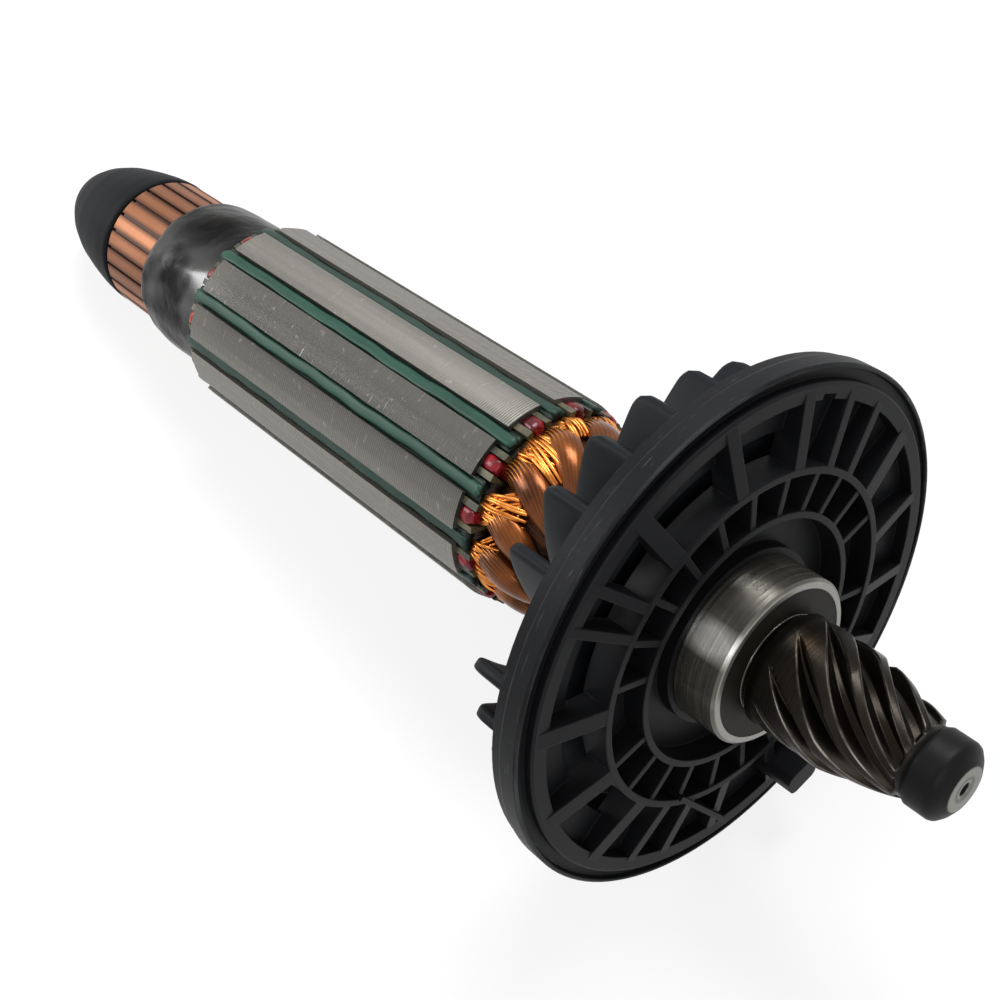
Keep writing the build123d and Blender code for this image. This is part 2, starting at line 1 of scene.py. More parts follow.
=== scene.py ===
import json
import math

import bpy
import numpy as np
from mathutils import Matrix


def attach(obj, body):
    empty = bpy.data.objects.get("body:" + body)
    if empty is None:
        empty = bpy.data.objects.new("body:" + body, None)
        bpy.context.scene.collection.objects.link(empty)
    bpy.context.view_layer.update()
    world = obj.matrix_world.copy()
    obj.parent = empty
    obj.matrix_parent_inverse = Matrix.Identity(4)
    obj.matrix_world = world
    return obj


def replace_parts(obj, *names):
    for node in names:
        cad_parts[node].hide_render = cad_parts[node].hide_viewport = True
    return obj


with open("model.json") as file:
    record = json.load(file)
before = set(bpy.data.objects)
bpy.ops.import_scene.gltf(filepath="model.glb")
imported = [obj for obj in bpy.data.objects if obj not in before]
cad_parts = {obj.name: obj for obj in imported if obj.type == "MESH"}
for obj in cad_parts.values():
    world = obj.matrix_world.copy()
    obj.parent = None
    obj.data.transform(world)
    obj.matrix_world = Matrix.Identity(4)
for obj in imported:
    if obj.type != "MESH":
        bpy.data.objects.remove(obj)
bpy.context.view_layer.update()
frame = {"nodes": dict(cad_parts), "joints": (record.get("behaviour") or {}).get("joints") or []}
nodes = frame["nodes"]
print("frame loaded:", len(nodes), "nodes")

# the shaft's own frame: z along the shaft towards the pinion, zero at the front bearing's front face, in millimetres
pose = {
    "upAngle": 32.8,  # degrees from the plate's own top to straight up
    "jointDepth": 6.0,  # from the bearing's front face back to its joint
    "unit": 0.001,
}
bearingJoint = next(j for j in frame["joints"] if j["name"] == "front_bearing_turn")
shaftDir = np.array(bearingJoint["axis"], float)
shaftDir /= np.linalg.norm(shaftDir)
tilt = math.atan2(shaftDir[2], shaftDir[0])
up = math.radians(pose["upAngle"])
sideDir = np.array([-math.sin(tilt) * math.sin(up), math.cos(up), math.cos(tilt) * math.sin(up)])
topDir = np.cross(shaftDir, sideDir)
shaftAxes = np.stack([sideDir, topDir, shaftDir])
shaftOrigin = np.array(bearingJoint["pos_m"], float) + shaftDir * pose["jointDepth"] * pose["unit"]

anyPhase = (0, 6.28)  # what a wave's random start is drawn from


def toWorld(points):
    return points * pose["unit"] @ shaftAxes + shaftOrigin


def smoothstep(t):
    t = np.clip(t, 0, 1)
    return t * t * (3 - 2 * t)


# shader maths

class Wire:
    # one socket of a node tree; sums and products on it add Math nodes
    def __init__(self, tree, socket):
        self.tree = tree
        self.socket = socket

    def math(self, kind, *others, clamp=False):
        node = self.tree.nodes.new("ShaderNodeMath")
        node.operation = kind
        node.use_clamp = clamp
        for slot, value in enumerate((self,) + others):
            plug(self.tree, node.inputs[slot], value)
        return Wire(self.tree, node.outputs[0])

    def __add__(self, other): return self.math("ADD", other)
    def __radd__(self, other): return self.math("ADD", other)
    def __mul__(self, other): return self.math("MULTIPLY", other)
    def __sub__(self, other): return self.math("SUBTRACT", other)
    def __rsub__(self, other): return (self * -1.0).math("ADD", other)
    def __truediv__(self, other): return self.math("DIVIDE", other)

    def between(self, low, high):
        # 0 below low, 1 above high, a straight ramp between
        return ((self - low) / (high - low)).math("MULTIPLY", 1.0, clamp=True)

    def near(self, centre, reach):
        # 1 at the centre, falling to 0 at that distance
        return 1.0 - ((self - centre).math("ABSOLUTE") / reach).math("MINIMUM", 1.0)


def plug(tree, socket, value):
    if isinstance(value, Wire):
        tree.links.new(value.socket, socket)
    else:
        socket.default_value = value


class Finish:
    # a material being built, with the shaft's own coordinates ready as wires
    def __init__(self, name):
        self.material = bpy.data.materials.new(name)
        self.material.use_nodes = True
        self.tree = self.material.node_tree
        self.shader = self.tree.nodes["Principled BSDF"]
        self.place = self.node("ShaderNodeTexCoord").outputs["Object"]
        self.along = self.dot(shaftDir)
        across = self.dot(sideDir)
        upward = self.dot(topDir)
        self.angle = across.math("ARCTAN2", upward) * (180 / math.pi)
        self.radius = (across * across + upward * upward).math("SQRT")

    def node(self, kind, settings=None, **values):
        # any other node: settings first, then the sockets, with _ for a space in a socket's name
        node = self.tree.nodes.new(kind)
        for key, value in (settings or {}).items():
            setattr(node, key, value)
        for key, value in values.items():
            plug(self.tree, node.inputs[key.replace("_", " ")], value)
        return node

    def dot(self, direction):
        # millimetres along one direction of the shaft's frame
        node = self.node("ShaderNodeVectorMath", {"operation": "DOT_PRODUCT"})
        self.tree.links.new(self.place, node.inputs[0])
        node.inputs[1].default_value = tuple(direction / pose["unit"])
        return Wire(self.tree, node.outputs["Value"]) - float(shaftOrigin @ direction / pose["unit"])

    def vector(self, x, y, z):
        node = self.node("ShaderNodeCombineXYZ", X=x, Y=y, Z=z)
        return Wire(self.tree, node.outputs[0])

    def pieceMap(self):
        # the piece's own map: round the section and along the path, each from 0 to 1
        split = self.node("ShaderNodeSeparateXYZ")
        self.tree.links.new(self.tree.nodes.new("ShaderNodeUVMap").outputs[0], split.inputs[0])
        return Wire(self.tree, split.outputs[0]), Wire(self.tree, split.outputs[1])

    def noise(self, scale, detail, place=None):
        # scale is in waves per unit of the place that it reads; the object's own place is in metres
        node = self.node("ShaderNodeTexNoise", Scale=scale, Detail=detail)
        self.tree.links.new(place.socket if place else self.place, node.inputs["Vector"])
        return Wire(self.tree, node.outputs["Fac"])

    def streaks(self, detail, x, y, z=0.0, scale=1.0):
        # noise stretched in the shaft's frame, by how fast each of its coordinates runs
        return self.noise(scale, detail, self.vector(x, y, z))

    def mix(self, share, first, second):
        # a colour between two, by a share
        node = self.node("ShaderNodeMix", {"data_type": "RGBA"})
        plug(self.tree, node.inputs[0], share)
        plug(self.tree, node.inputs[6], first if isinstance(first, Wire) else (*first, 1))
        plug(self.tree, node.inputs[7], (*second, 1))
        return Wire(self.tree, node.outputs[2])

    def bump(self, height, distance, strength=1.0, under=None):
        node = self.node("ShaderNodeBump", Height=height, Distance=distance, Strength=strength)
        if under:
            self.tree.links.new(under.socket, node.inputs["Normal"])
        return Wire(self.tree, node.outputs[0])

    def softEdge(self, radius):
        node = self.node("ShaderNodeBevel", {"samples": 4}, Radius=radius)
        return Wire(self.tree, node.outputs[0])

    def done(self, **sockets):
        for key, value in sockets.items():
            plug(self.tree, self.shader.inputs[key.replace("_", " ")], value)
        return self.material


# finishes: heights, radii and reaches in millimetres, turns in degrees, bumps in metres

pinionTones = {
    "dark": (0.009, 0.0078, 0.0065), "light": (0.030, 0.026, 0.021), "gap": (0.010, 0.008, 0.006),
    "crest": (0.27, 0.25, 0.225), "rust": (0.060, 0.035, 0.018), "journal": (0.0035, 0.0035, 0.0040),
    "endFace": (0.17, 0.17, 0.145), "hole": (0.02, 0.02, 0.018),
    "endHeights": (46.2, 46.4), "endRadii": (5.0, 5.4), "journalHeights": (36.6, 37.6), "holeRing": (2.6, 0.8),
    "rustTurn": (30.0, 16.0), "rustHeight": (8.5, 4.5), "crestBand": (0.08, 0.08), "bump": 0.00006,
}


def pinionSteel():
    f, tones = Finish("pinionSteel"), pinionTones
    depth, toothed = f.pieceMap()  # depth is 0 on a crest, 1 in a gap
    grain = f.noise(900, 4)
    stain = f.noise(140, 3)
    face = f.along.between(*tones["endHeights"]) * (1 - f.radius.between(*tones["endRadii"]))
    journal = f.along.between(*tones["journalHeights"]) * (1 - face)  # the black hardened tip
    steel = f.mix(stain, tones["dark"], tones["light"])
    # painted shade in the gaps between the teeth
    steel = f.mix(depth.between(0.25, 0.9) * toothed * 0.7, steel, tones["gap"])
    wearAndSheen = depth.near(*tones["crestBand"]) * toothed * f.noise(200, 2).between(0.3, 0.6)
    steel = f.mix(wearAndSheen * 0.6, steel, tones["crest"])  # painted highlight beside the crests, partly rubbed wear
    rust = f.angle.near(*tones["rustTurn"]) * f.along.near(*tones["rustHeight"]) * stain
    steel = f.mix(rust * 0.9, steel, tones["rust"])
    steel = f.mix(journal, steel, tones["journal"])
    steel = f.mix(face, steel, tones["endFace"])
    steel = f.mix(face * f.radius.near(*tones["holeRing"]) * 0.85, steel, tones["hole"])
    lines = f.streaks(2, f.angle * 0.02, f.along * 3.0, f.radius, scale=0.9)
    return f.done(Base_Color=steel, Metallic=0.9 - journal * 0.85,
                  Roughness=0.24 + grain * 0.14 + journal * 0.16, Specular_IOR_Level=0.12,
                  Normal=f.bump(lines + grain * 0.4, tones["bump"], 0.5))


bearingTones = {
    "dark": (0.070, 0.066, 0.054), "light": (0.125, 0.120, 0.102), "wearAndSheen": (0.30, 0.29, 0.26),
    "paintedHighlight": (0.82, 0.81, 0.77), "front": (0.36, 0.355, 0.33),
    "highlightTurn": (-12.0, 13.0), "highlightHeight": (-6.0, 9.0), "frontHeights": (-0.25, -0.1),
    "bump": 0.00009, "edge": 0.0003,
}


def bearingSteel():
    # ground round its rings: fine lines that spread a reflection across them
    f, tones = Finish("bearingSteel"), bearingTones
    haze = f.noise(60, 3)
    ground = f.streaks(2, f.angle * 0.004, f.along * 7.0, f.radius * 7.0)
    wearAndSheen = f.streaks(1, f.angle * 0.05, f.along * 0.04)
    colour = f.mix(haze, tones["dark"], tones["light"])
    # pale patches that follow the angle: wear, and painted reflection
    colour = f.mix(wearAndSheen.between(0.52, 0.72) * 0.30, colour, tones["wearAndSheen"])
    paintedHighlight = f.angle.near(*tones["highlightTurn"]) * f.along.near(*tones["highlightHeight"])
    colour = f.mix(paintedHighlight.between(0.0, 0.45) * 0.9, colour, tones["paintedHighlight"])  # painted highlight band
    colour = f.mix(f.along.between(*tones["frontHeights"]) * 0.6, colour, tones["front"])
    return f.done(Base_Color=colour, Metallic=0.8, Roughness=0.22 + haze * 0.12,
                  Normal=f.bump(ground, tones["bump"], 1.0, f.softEdge(tones["edge"])))


laminationTones = {
    "dark": (0.140, 0.134, 0.118), "light": (0.27, 0.256, 0.226), "band": (0.085, 0.082, 0.075),
    "paintedDarkReflection": (0.022, 0.021, 0.020), "toothShade": (0.070, 0.067, 0.058), "wear": (0.46, 0.45, 0.41),
    "scratch": (0.55, 0.54, 0.50), "seam": (0.075, 0.070, 0.060),
    "sheet": 0.72, "darkReflectionTurn": (-8.0, 34.0), "darkReflectionHeight": (-120.0, 110.0), "toothShadeTurn": (31.0, 17.0),
    "bump": 0.00008,
}


def laminationSteel():
    f, tones = Finish("laminationSteel"), laminationTones
    sheets = (f.along * (2 * math.pi / tones["sheet"])).math("SINE")
    streak = f.streaks(3, f.angle * 0.35, f.along * 0.02)
    wear = f.streaks(4, f.angle * 0.25, f.along * 0.5, scale=0.8)
    scratch = f.streaks(2, f.angle * 0.05, f.along * 1.9)
    band = f.streaks(1, f.angle * 0.05, 0.0, 2.0)
    colour = f.mix(streak, tones["dark"], tones["light"])
    colour = f.mix(band.between(0.45, 0.60) * 0.45, colour, tones["band"])
    paintedDarkReflection = f.angle.near(*tones["darkReflectionTurn"]).between(0.0, 0.75)  # painted dark reflection on these teeth
    paintedDarkReflection = paintedDarkReflection * f.along.near(*tones["darkReflectionHeight"]).between(0.0, 0.5)
    colour = f.mix(paintedDarkReflection * (0.55 + streak * 0.4), colour, tones["paintedDarkReflection"])
    paintedToothShade = f.angle.near(*tones["toothShadeTurn"]).between(0.0, 0.5)  # painted shade that dims the tooth where the lamps shine on it
    colour = f.mix(paintedToothShade * 0.42, colour, tones["toothShade"])
    colour = f.mix(wear.between(0.62, 0.78) * 0.4, colour, tones["wear"])
    colour = f.mix(scratch.between(0.70, 0.76) * 0.45, colour, tones["scratch"])
    colour = f.mix(sheets.between(0.2, 1.0) * 0.25, colour, tones["seam"])
    return f.done(Base_Color=colour, Metallic=0.7, Roughness=0.30 + wear * 0.22,
                  Normal=f.bump(sheets * -1.0, tones["bump"], 0.55))


wedgeTones = {
    "dark": (0.007, 0.030, 0.021), "light": (0.024, 0.088, 0.060), "deep": (0.0045, 0.012, 0.0095),
    "stain": (0.010, 0.022, 0.016), "flank": (0.004, 0.008, 0.006), "footShadeRadii": (25.3, 25.9), "bump": 0.0001,
}


def wedgeGreen():
    f, tones = Finish("wedgeGreen"), wedgeTones
    grain = f.streaks(4, f.angle * 1.2, f.along * 0.12, scale=0.6)
    stain = f.streaks(2, f.angle * 0.15, f.along * 0.05, 4.0, scale=0.5)
    green = (f.angle * (3 * math.pi / 180)).math("COSINE") * 0.5 + 0.5  # some slots are darker than others
    colour = f.mix(grain, tones["dark"], tones["light"])
    colour = f.mix((1 - green.between(0.0, 0.6)) * 0.75, colour, tones["deep"])
    colour = f.mix(stain.between(0.5, 0.7) * 0.4, colour, tones["stain"])
    # painted shade on the wedge's foot and flanks down in the slot
    colour = f.mix((1 - f.radius.between(*tones["footShadeRadii"])) * 0.85, colour, tones["flank"])
    return f.done(Base_Color=colour, Roughness=0.36 + grain * 0.2, Specular_IOR_Level=0.25,
                  Normal=f.bump(grain, tones["bump"], 0.4))


linerTones = {"dark": (0.055, 0.050, 0.024), "light": (0.17, 0.145, 0.080), "stain": (0.012, 0.018, 0.010)}


def linerPaper():
    f, tones = Finish("linerPaper"), linerTones
    fibre = f.noise(900, 4)
    stain = f.noise(220, 3)
    colour = f.mix(fibre, tones["dark"], tones["light"])
    colour = f.mix(stain.between(0.38, 0.6) * 0.85, colour, tones["stain"])
    return f.done(Base_Color=colour, Roughness=0.5, Normal=f.bump(fibre, 0.0001, 0.4))


insulatorTones = {
    "dark": (0.12, 0.004, 0.008), "light": (0.36, 0.010, 0.022), "rear": (0.33, 0.035, 0.012),
    "stain": (0.030, 0.003, 0.004), "rearHeights": (-150.0, -160.0), "bump": 0.0005,
}


def insulatorRed():
    f, tones = Finish("insulatorRed"), insulatorTones
    grain = f.noise(500, 3)
    stain = f.noise(260, 3)
    colour = f.mix(grain, tones["dark"], tones["light"])
    rear = f.along.between(*tones["rearHeights"])  # more orange at the commutator end
    colour = f.mix(rear * 0.7, colour, tones["rear"])
    colour = f.mix(stain.between(0.42, 0.65) * 0.85, colour, tones["stain"])
    return f.done(Base_Color=colour, Roughness=0.20 + grain * 0.15, Specular_IOR_Level=0.3,
                  Normal=f.bump(stain, tones["bump"], 0.7))


wireTones = {"dark": (0.34, 0.095, 0.016), "light": (0.92, 0.36, 0.075), "root": (0.030, 0.009, 0.005)}


def copperWire():
    f, tones = Finish("copperWire"), wireTones
    far = f.pieceMap()[1]
    tone = f.noise(260, 3)
    root = 1 - far.between(0.0, 0.16)  # painted shade where it leaves the slot
    colour = f.mix(tone.between(0.3, 0.7), tones["dark"], tones["light"])
    colour = f.mix(root * 0.85, colour, tones["root"])
    return f.done(Base_Color=colour, Metallic=0.9, Roughness=0.24 + tone * 0.12)


lobeTones = {
    "dark": (0.045, 0.013, 0.005), "light": (0.21, 0.060, 0.014), "end": (0.075, 0.030, 0.020),
    "wire": (0.85, 0.32, 0.050), "gap": (0.030, 0.010, 0.005), "root": (0.022, 0.008, 0.005),
    "wires": 26, "bareUntil": (0.10, 0.42), "bump": 0.0004,
}


def resinCopper():
    # strands under resin: bright lines at the slot end of a lobe, a smooth brown gloss further on
    f, tones = Finish("resinCopper"), lobeTones
    around, far = f.pieceMap()
    tone = f.noise(110, 3)
    lines = (around * (2 * math.pi * tones["wires"]) + f.noise(130, 2) * 3.0).math("SINE")
    bare = (1 - far.between(*tones["bareUntil"])) * tone.between(0.25, 0.5)
    colour = f.mix(tone.between(0.3, 0.7), tones["dark"], tones["light"])
    colour = f.mix(far.between(0.6, 1.0) * 0.5, colour, tones["end"])
    colour = f.mix(lines.between(0.1, 0.9) * (0.06 + bare * 0.9), colour, tones["wire"])
    # painted shade in the grooves between the bare strands
    colour = f.mix((1 - lines.between(-0.95, -0.3)) * bare * 0.8, colour, tones["gap"])
    # painted shade where the lobe leaves the slot
    colour = f.mix((1 - far.between(0.0, 0.10)) * 0.9, colour, tones["root"])
    return f.done(Base_Color=colour, Metallic=0.65, Roughness=0.20 + tone * 0.12, Specular_IOR_Level=0.3,
                  Normal=f.bump(lines * bare + tone * 0.5, tones["bump"], 0.5))


resinTones = {
    "dark": (0.020, 0.007, 0.004), "light": (0.10, 0.032, 0.012), "wire": (0.30, 0.10, 0.022),
    "slot": (0.006, 0.003, 0.002), "slotShadeHeights": (-69.0, -70.5), "bump": 0.0006,
}


def resinBody():
    f, tones = Finish("resinBody"), resinTones
    tone = f.noise(120, 3)
    lines = f.streaks(2, f.angle * 0.9 + f.along * 0.9, f.along * 0.08)
    colour = f.mix(tone.between(0.3, 0.7), tones["dark"], tones["light"])
    colour = f.mix(lines.between(0.55, 0.7) * 0.4, colour, tones["wire"])
    # painted shade from the foot of the front head back: the slot bars and the rear body
    colour = f.mix(f.along.between(*tones["slotShadeHeights"]) * 0.9, colour, tones["slot"])
    return f.done(Base_Color=colour, Metallic=0.4, Roughness=0.24 + tone * 0.12, Specular_IOR_Level=0.3,
                  Normal=f.bump(tone + lines, tones["bump"], 0.6))


varnishTones = {
    "dark": (0.0025, 0.0025, 0.0028), "light": (0.012, 0.010, 0.008), "thickTurn": (-12.0, 42.0),
    "bump": 0.0019, "coatRough": 0.16,
}


def blackVarnish():
    f, tones = Finish("blackVarnish"), varnishTones
    runs = f.noise(60, 2)
    lumps = f.noise(42, 1)
    colour = f.mix(runs.between(0.5, 0.8), tones["dark"], tones["light"])
    thick = runs.between(0.40, 0.54) * f.angle.near(*tones["thickTurn"]).between(0.1, 0.6)
    return f.done(Base_Color=colour, Roughness=0.18 + runs * 0.16, Specular_IOR_Level=0.07,
                  Coat_Weight=thick, Coat_Roughness=tones["coatRough"],  # glossy where the varnish stands thick
                  Normal=f.bump(lumps + runs * 0.5 + f.noise(260, 2) * 0.16, tones["bump"], 0.9))


commutatorTones = {
    "dark": (0.26, 0.100, 0.042), "light": (0.50, 0.225, 0.115), "bar": (0.15, 0.055, 0.024),
    "ring": (0.15, 0.060, 0.028), "edge": (0.060, 0.021, 0.012), "barTurn": 15.0, "barPhase": 0.6,
    "bump": 0.00005,
}


def commutatorCopper():
    f, tones = Finish("commutatorCopper"), commutatorTones
    rings = f.streaks(3, f.angle * 0.01, f.along * 1.6)
    patch = f.streaks(3, f.angle * 0.12, f.along * 0.10, scale=0.5)
    bar = (f.angle - tones["barPhase"]) / tones["barTurn"]
    tint = f.streaks(1, bar.math("FLOOR") * 2.7, 0.0, 5.0)
    edge = (bar.math("FRACT") - 0.5).math("ABSOLUTE") * 2.0  # 0 mid bar, 1 in the gap
    colour = f.mix(patch, tones["dark"], tones["light"])
    colour = f.mix(tint.between(0.42, 0.56) * 0.7, colour, tones["bar"])
    colour = f.mix(rings.between(0.55, 0.8) * 0.3, colour, tones["ring"])
    colour = f.mix((edge + patch * 0.3).between(0.45, 0.98) * 0.9, colour, tones["edge"])
    return f.done(Base_Color=colour, Metallic=0.5, Roughness=0.44 + rings * 0.12, Specular_IOR_Level=0.25,
                  Normal=f.bump(rings, tones["bump"], 0.5))


fanTones = {
    "dark": (0.0024, 0.0029, 0.0040), "light": (0.0068, 0.0079, 0.0102), "paleTone": (0.045, 0.052, 0.064),
    "paleRadii": (40.0, 52.0), "bump": 0.00008,
}


def fanPlastic():
    f, tones = Finish("fanPlastic"), fanTones
    haze = f.noise(45, 3)
    outside = f.radius.between(*tones["paleRadii"])
    colour = f.mix(haze, tones["dark"], tones["light"])
    # lighter inside the given radii
    colour = f.mix((1 - outside) * 0.16, colour, tones["paleTone"])
    return f.done(Base_Color=colour, Roughness=0.45 + haze * 0.15, Specular_IOR_Level=0.13,
                  Normal=f.bump(f.noise(700, 3), tones["bump"], 0.3))


plateTones = {
    "dark": (0.0026, 0.0028, 0.0034), "light": (0.0075, 0.0079, 0.0092), "scuff": (0.13, 0.135, 0.14),
    "paleTone": (0.090, 0.095, 0.10), "rimRadii": (60.5, 61.5), "frontEdge": (-12.45, 0.40),
    "rearEdge": (-16.80, 0.28), "bump": 0.00006, "edge": 0.00045,
}


def platePlastic():
    f, tones = Finish("platePlastic"), plateTones
    haze = f.noise(35, 4)
    scuff = f.streaks(4, f.angle * 0.3, f.along * 3.0, f.radius, scale=0.7)
    colour = f.mix(haze, tones["dark"], tones["light"])
    rim = f.radius.between(*tones["rimRadii"])
    colour = f.mix(scuff.between(0.64, 0.8) * rim * 0.5, colour, tones["scuff"])
    # painted highlight lines along the rim's front and rear edges, broken into dashes like rubbed wear
    paleTone = f.along.near(*tones["frontEdge"]) + f.along.near(*tones["rearEdge"]) * 0.7
    wearAndSheen = f.streaks(3, f.angle * 0.05, f.along * 0.6)
    colour = f.mix(paleTone * rim * wearAndSheen.between(0.38, 0.66) * 0.55, colour, tones["paleTone"])
    return f.done(Base_Color=colour, Roughness=0.38 + haze * 0.18, Specular_IOR_Level=0.12,
                  Normal=f.bump(f.noise(800, 3), tones["bump"], 0.3, f.softEdge(tones["edge"])))


plainTones = {
    # dark, light, how fine the grain is, least roughness and how much the grain adds
    "cageSteel": ((0.30, 0.29, 0.27), (0.44, 0.43, 0.40), 300, 0.35, 0.15),
    "sealRubber": ((0.005, 0.0045, 0.0035), (0.015, 0.013, 0.010), 240, 0.42, 0.2),
    "sleeveBoard": ((0.18, 0.10, 0.04), (0.28, 0.17, 0.08), 300, 0.5, 0.1),
    "mouldingBrown": ((0.070, 0.028, 0.015), (0.120, 0.050, 0.028), 300, 0.5, 0.1),
    "capRubber": ((0.0016, 0.0018, 0.0026), (0.0056, 0.0062, 0.0080), 55, 0.50, 0.15),
}


def plainFinish(name, metal=0.0, gloss=0.5, bump=None):
    # one colour with a soft grain; bump is its depth and strength
    dark, light, fineness, rough, more = plainTones[name]
    f = Finish(name)
    grain = f.noise(fineness, 3)
    if bump:
        f.done(Normal=f.bump(grain, *bump))
    return f.done(Base_Color=f.mix(grain, dark, light), Metallic=metal, Roughness=rough + grain * more,
                  Specular_IOR_Level=gloss)


finishes = {
    "steel": pinionSteel(), "bearing_steel": bearingSteel(), "cage_steel": plainFinish("cageSteel", metal=1.0),
    "seal_rubber": plainFinish("sealRubber", gloss=0.12, bump=(0.00008, 0.4)),
    "lamination_steel": laminationSteel(), "wedge_green": wedgeGreen(), "liner_paper": linerPaper(),
    "insulator_red": insulatorRed(), "insulation_board": plainFinish("sleeveBoard"),
    "copper_wire": resinBody(), "black_varnish": blackVarnish(), "commutator_copper": commutatorCopper(),
    "moulding_brown": plainFinish("mouldingBrown"), "fan_plastic": fanPlastic(), "black_plastic": platePlastic(),
    "cap_rubber": plainFinish("capRubber", gloss=0.1, bump=(0.0003, 0.3)),
}
wireFinish = copperWire()
lobeFinish = resinCopper()
for node in nodes.values():
    for slot in node.material_slots:
        slot.material = finishes[slot.material.name.split(".")[0]]
print("finishes on:", len(finishes))


# pieces

def putPiece(name, points, faces, body, material, pointMap=None):
    # a mesh from points in the shaft's frame, riding a body of the frame, with a map where its points have one
    mesh = bpy.data.meshes.new(name)
    mesh.from_pydata(toWorld(points).tolist(), [], faces)
    if pointMap is not None:
        corner = np.empty(len(mesh.loops), int)
        mesh.loops.foreach_get("vertex_index", corner)
        layer = mesh.uv_layers.new(name="pieceMap")
        layer.data.foreach_set("uv", pointMap[corner].astype(np.float32).ravel())
    mesh.materials.append(material)
    mesh.polygons.foreach_set("use_smooth", np.ones(len(mesh.polygons), bool))
    mesh.update()
    piece = bpy.data.objects.new(name, mesh)
    bpy.context.scene.collection.objects.link(piece)
    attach(piece, body)
    print("piece:", name, len(mesh.polygons), "faces")
    return piece


class Shells:
    # closed shells gathered into one piece of the rotor
    def __init__(self):
        self.points, self.faces, self.maps, self.count = [], [], [], 0

    def add(self, points, faces, flip=False, pointMap=None):
        # flip is for a grid whose rows or columns run the other way, so that its faces still look outward
        order = -1 if flip else 1
        self.faces += [[self.count + k for k in face[::order]] for face in faces]
        self.points.append(points)
        self.count += len(points)
        if pointMap is not None:
            self.maps.append(pointMap)

    def put(self, name, material):
        pointMap = np.concatenate(self.maps) if self.maps else None
        return putPiece(name, np.concatenate(self.points), self.faces, "rotor", material, pointMap)


def turnFaces(rows, cols, closed):
    # quads between neighbouring rows of a turned grid; an open one gets a fan to a pole point at each end
    ring = np.arange(cols)
    after = (ring + 1) % cols
    low = np.arange(rows if closed else rows - 1)[:, None] * cols
    high = (low + cols) % (rows * cols)
    quads = np.stack([low + ring, low + after, high + after, high + ring], -1).reshape(-1, 4)
    faces = quads.tolist()
    if not closed:
        last = (rows - 1) * cols
        faces += np.stack([after, ring, np.full(cols, rows * cols)], -1).tolist()
        faces += np.stack([last + ring, last + after, np.full(cols, rows * cols + 1)], -1).tolist()
    return faces


def finerPath(points, step):
    # the same corners with more points between them, no further apart than the step
    points = np.array(points, float)
    out = [points[:1]]
    for a, b in zip(points[:-1], points[1:]):
        count = max(1, int(math.ceil(np.linalg.norm(b - a) / step)))
        share = (np.arange(count) + 1)[:, None] / count
        out.append(a + (b - a) * share)
    return np.concatenate(out)


def roundedPath(points, step, passes):
    # the path with its corners eased by averaging each inner point with its neighbours
    path = finerPath(points, step)
    for _ in range(passes):
        path[1:-1] = path[1:-1] * 0.5 + (path[:-2] + path[2:]) * 0.25
    return path


def ringPoints(radius, height, angle):
    # point = (r sin a, r cos a, h), with the angle in degrees from the plate's top
    a = np.radians(angle)
    return np.stack([radius * np.sin(a), radius * np.cos(a), height + np.zeros_like(a)], -1)


def turnedPath(path, cols):
    # the grid of a profile of (radius, height) turned about the shaft
    return ringPoints(path[:, :1], path[:, 1:], (np.arange(cols) * 360.0 / cols)[None])


def besideLine(x, out, height, angle):
    # point = x to the side of a line that leaves the shaft at that angle, and so far out along it
    turn = np.radians(angle)
    return np.stack([x * np.cos(turn) + out * np.sin(turn), -x * np.sin(turn) + out * np.cos(turn), height], -1)


def withPoles(grid, first, last):
    return np.concatenate([grid.reshape(-1, 3), [first], [last]])


def squareRound(count, power):
    # |x| ^ n + |y| ^ n = 1 at evenly spread angles
    around = np.arange(count) * 2 * math.pi / count
    x = np.sign(np.cos(around)) * np.abs(np.cos(around)) ** (2 / power)
    y = np.sign(np.sin(around)) * np.abs(np.sin(around)) ** (2 / power)
    return around, x, y


shaft = {
    "teeth": 9, "turn": -4.15, "phase": 14.0, "start": 4.6, "end": 36.4,
    "coneStart": 20.0, "coneEnd": 35.4, "collar": 13.2, "coneTip": 9.3, "coneBeyond": 1.07,
    "rootHeights": [1.7, 4.6, 6.0, 8.0, 12.0, 17.0, 24.0, 36.4],
    "roots": [13.2, 13.2, 12.9, 12.1, 10.8, 9.7, 9.1, 7.9],
    "lands": [1.0, 0.98, 0.88, 0.74, 0.52, 0.33, 0.22, 0.20],
    "floors": [0.0, 0.0, 0.02, 0.05, 0.12, 0.20, 0.26, 0.30],
    "columnsPerTooth": 26, "toothStep": 0.35, "rearStep": 4.0, "tipStep": 0.8, "leastFlank": 0.01,
    "rearPath": [(4.2, -274.0), (5.0, -273.2), (5.0, -262.5), (5.8, -262.5), (5.8, -249.2), (7.0, -249.2),
                 (7.0, -220.5), (8.2, -219.5), (8.2, -12.0), (8.5, -12.0), (8.5, -0.0), (11.4, 0.0), (11.4, 1.5),
                 (11.7, 1.7), (12.8, 1.7), (13.2, 2.1), (13.2, 4.6)],
    "tipPath": [(8.2, 36.4), (8.2, 37.2), (8.5, 37.9), (8.9, 38.6), (8.9, 43.6), (8.6, 44.4), (7.5, 45.4),
                (7.2, 45.6), (5.6, 46.5), (5.3, 46.6), (1.7, 46.6), (0.2, 42.7)],
}


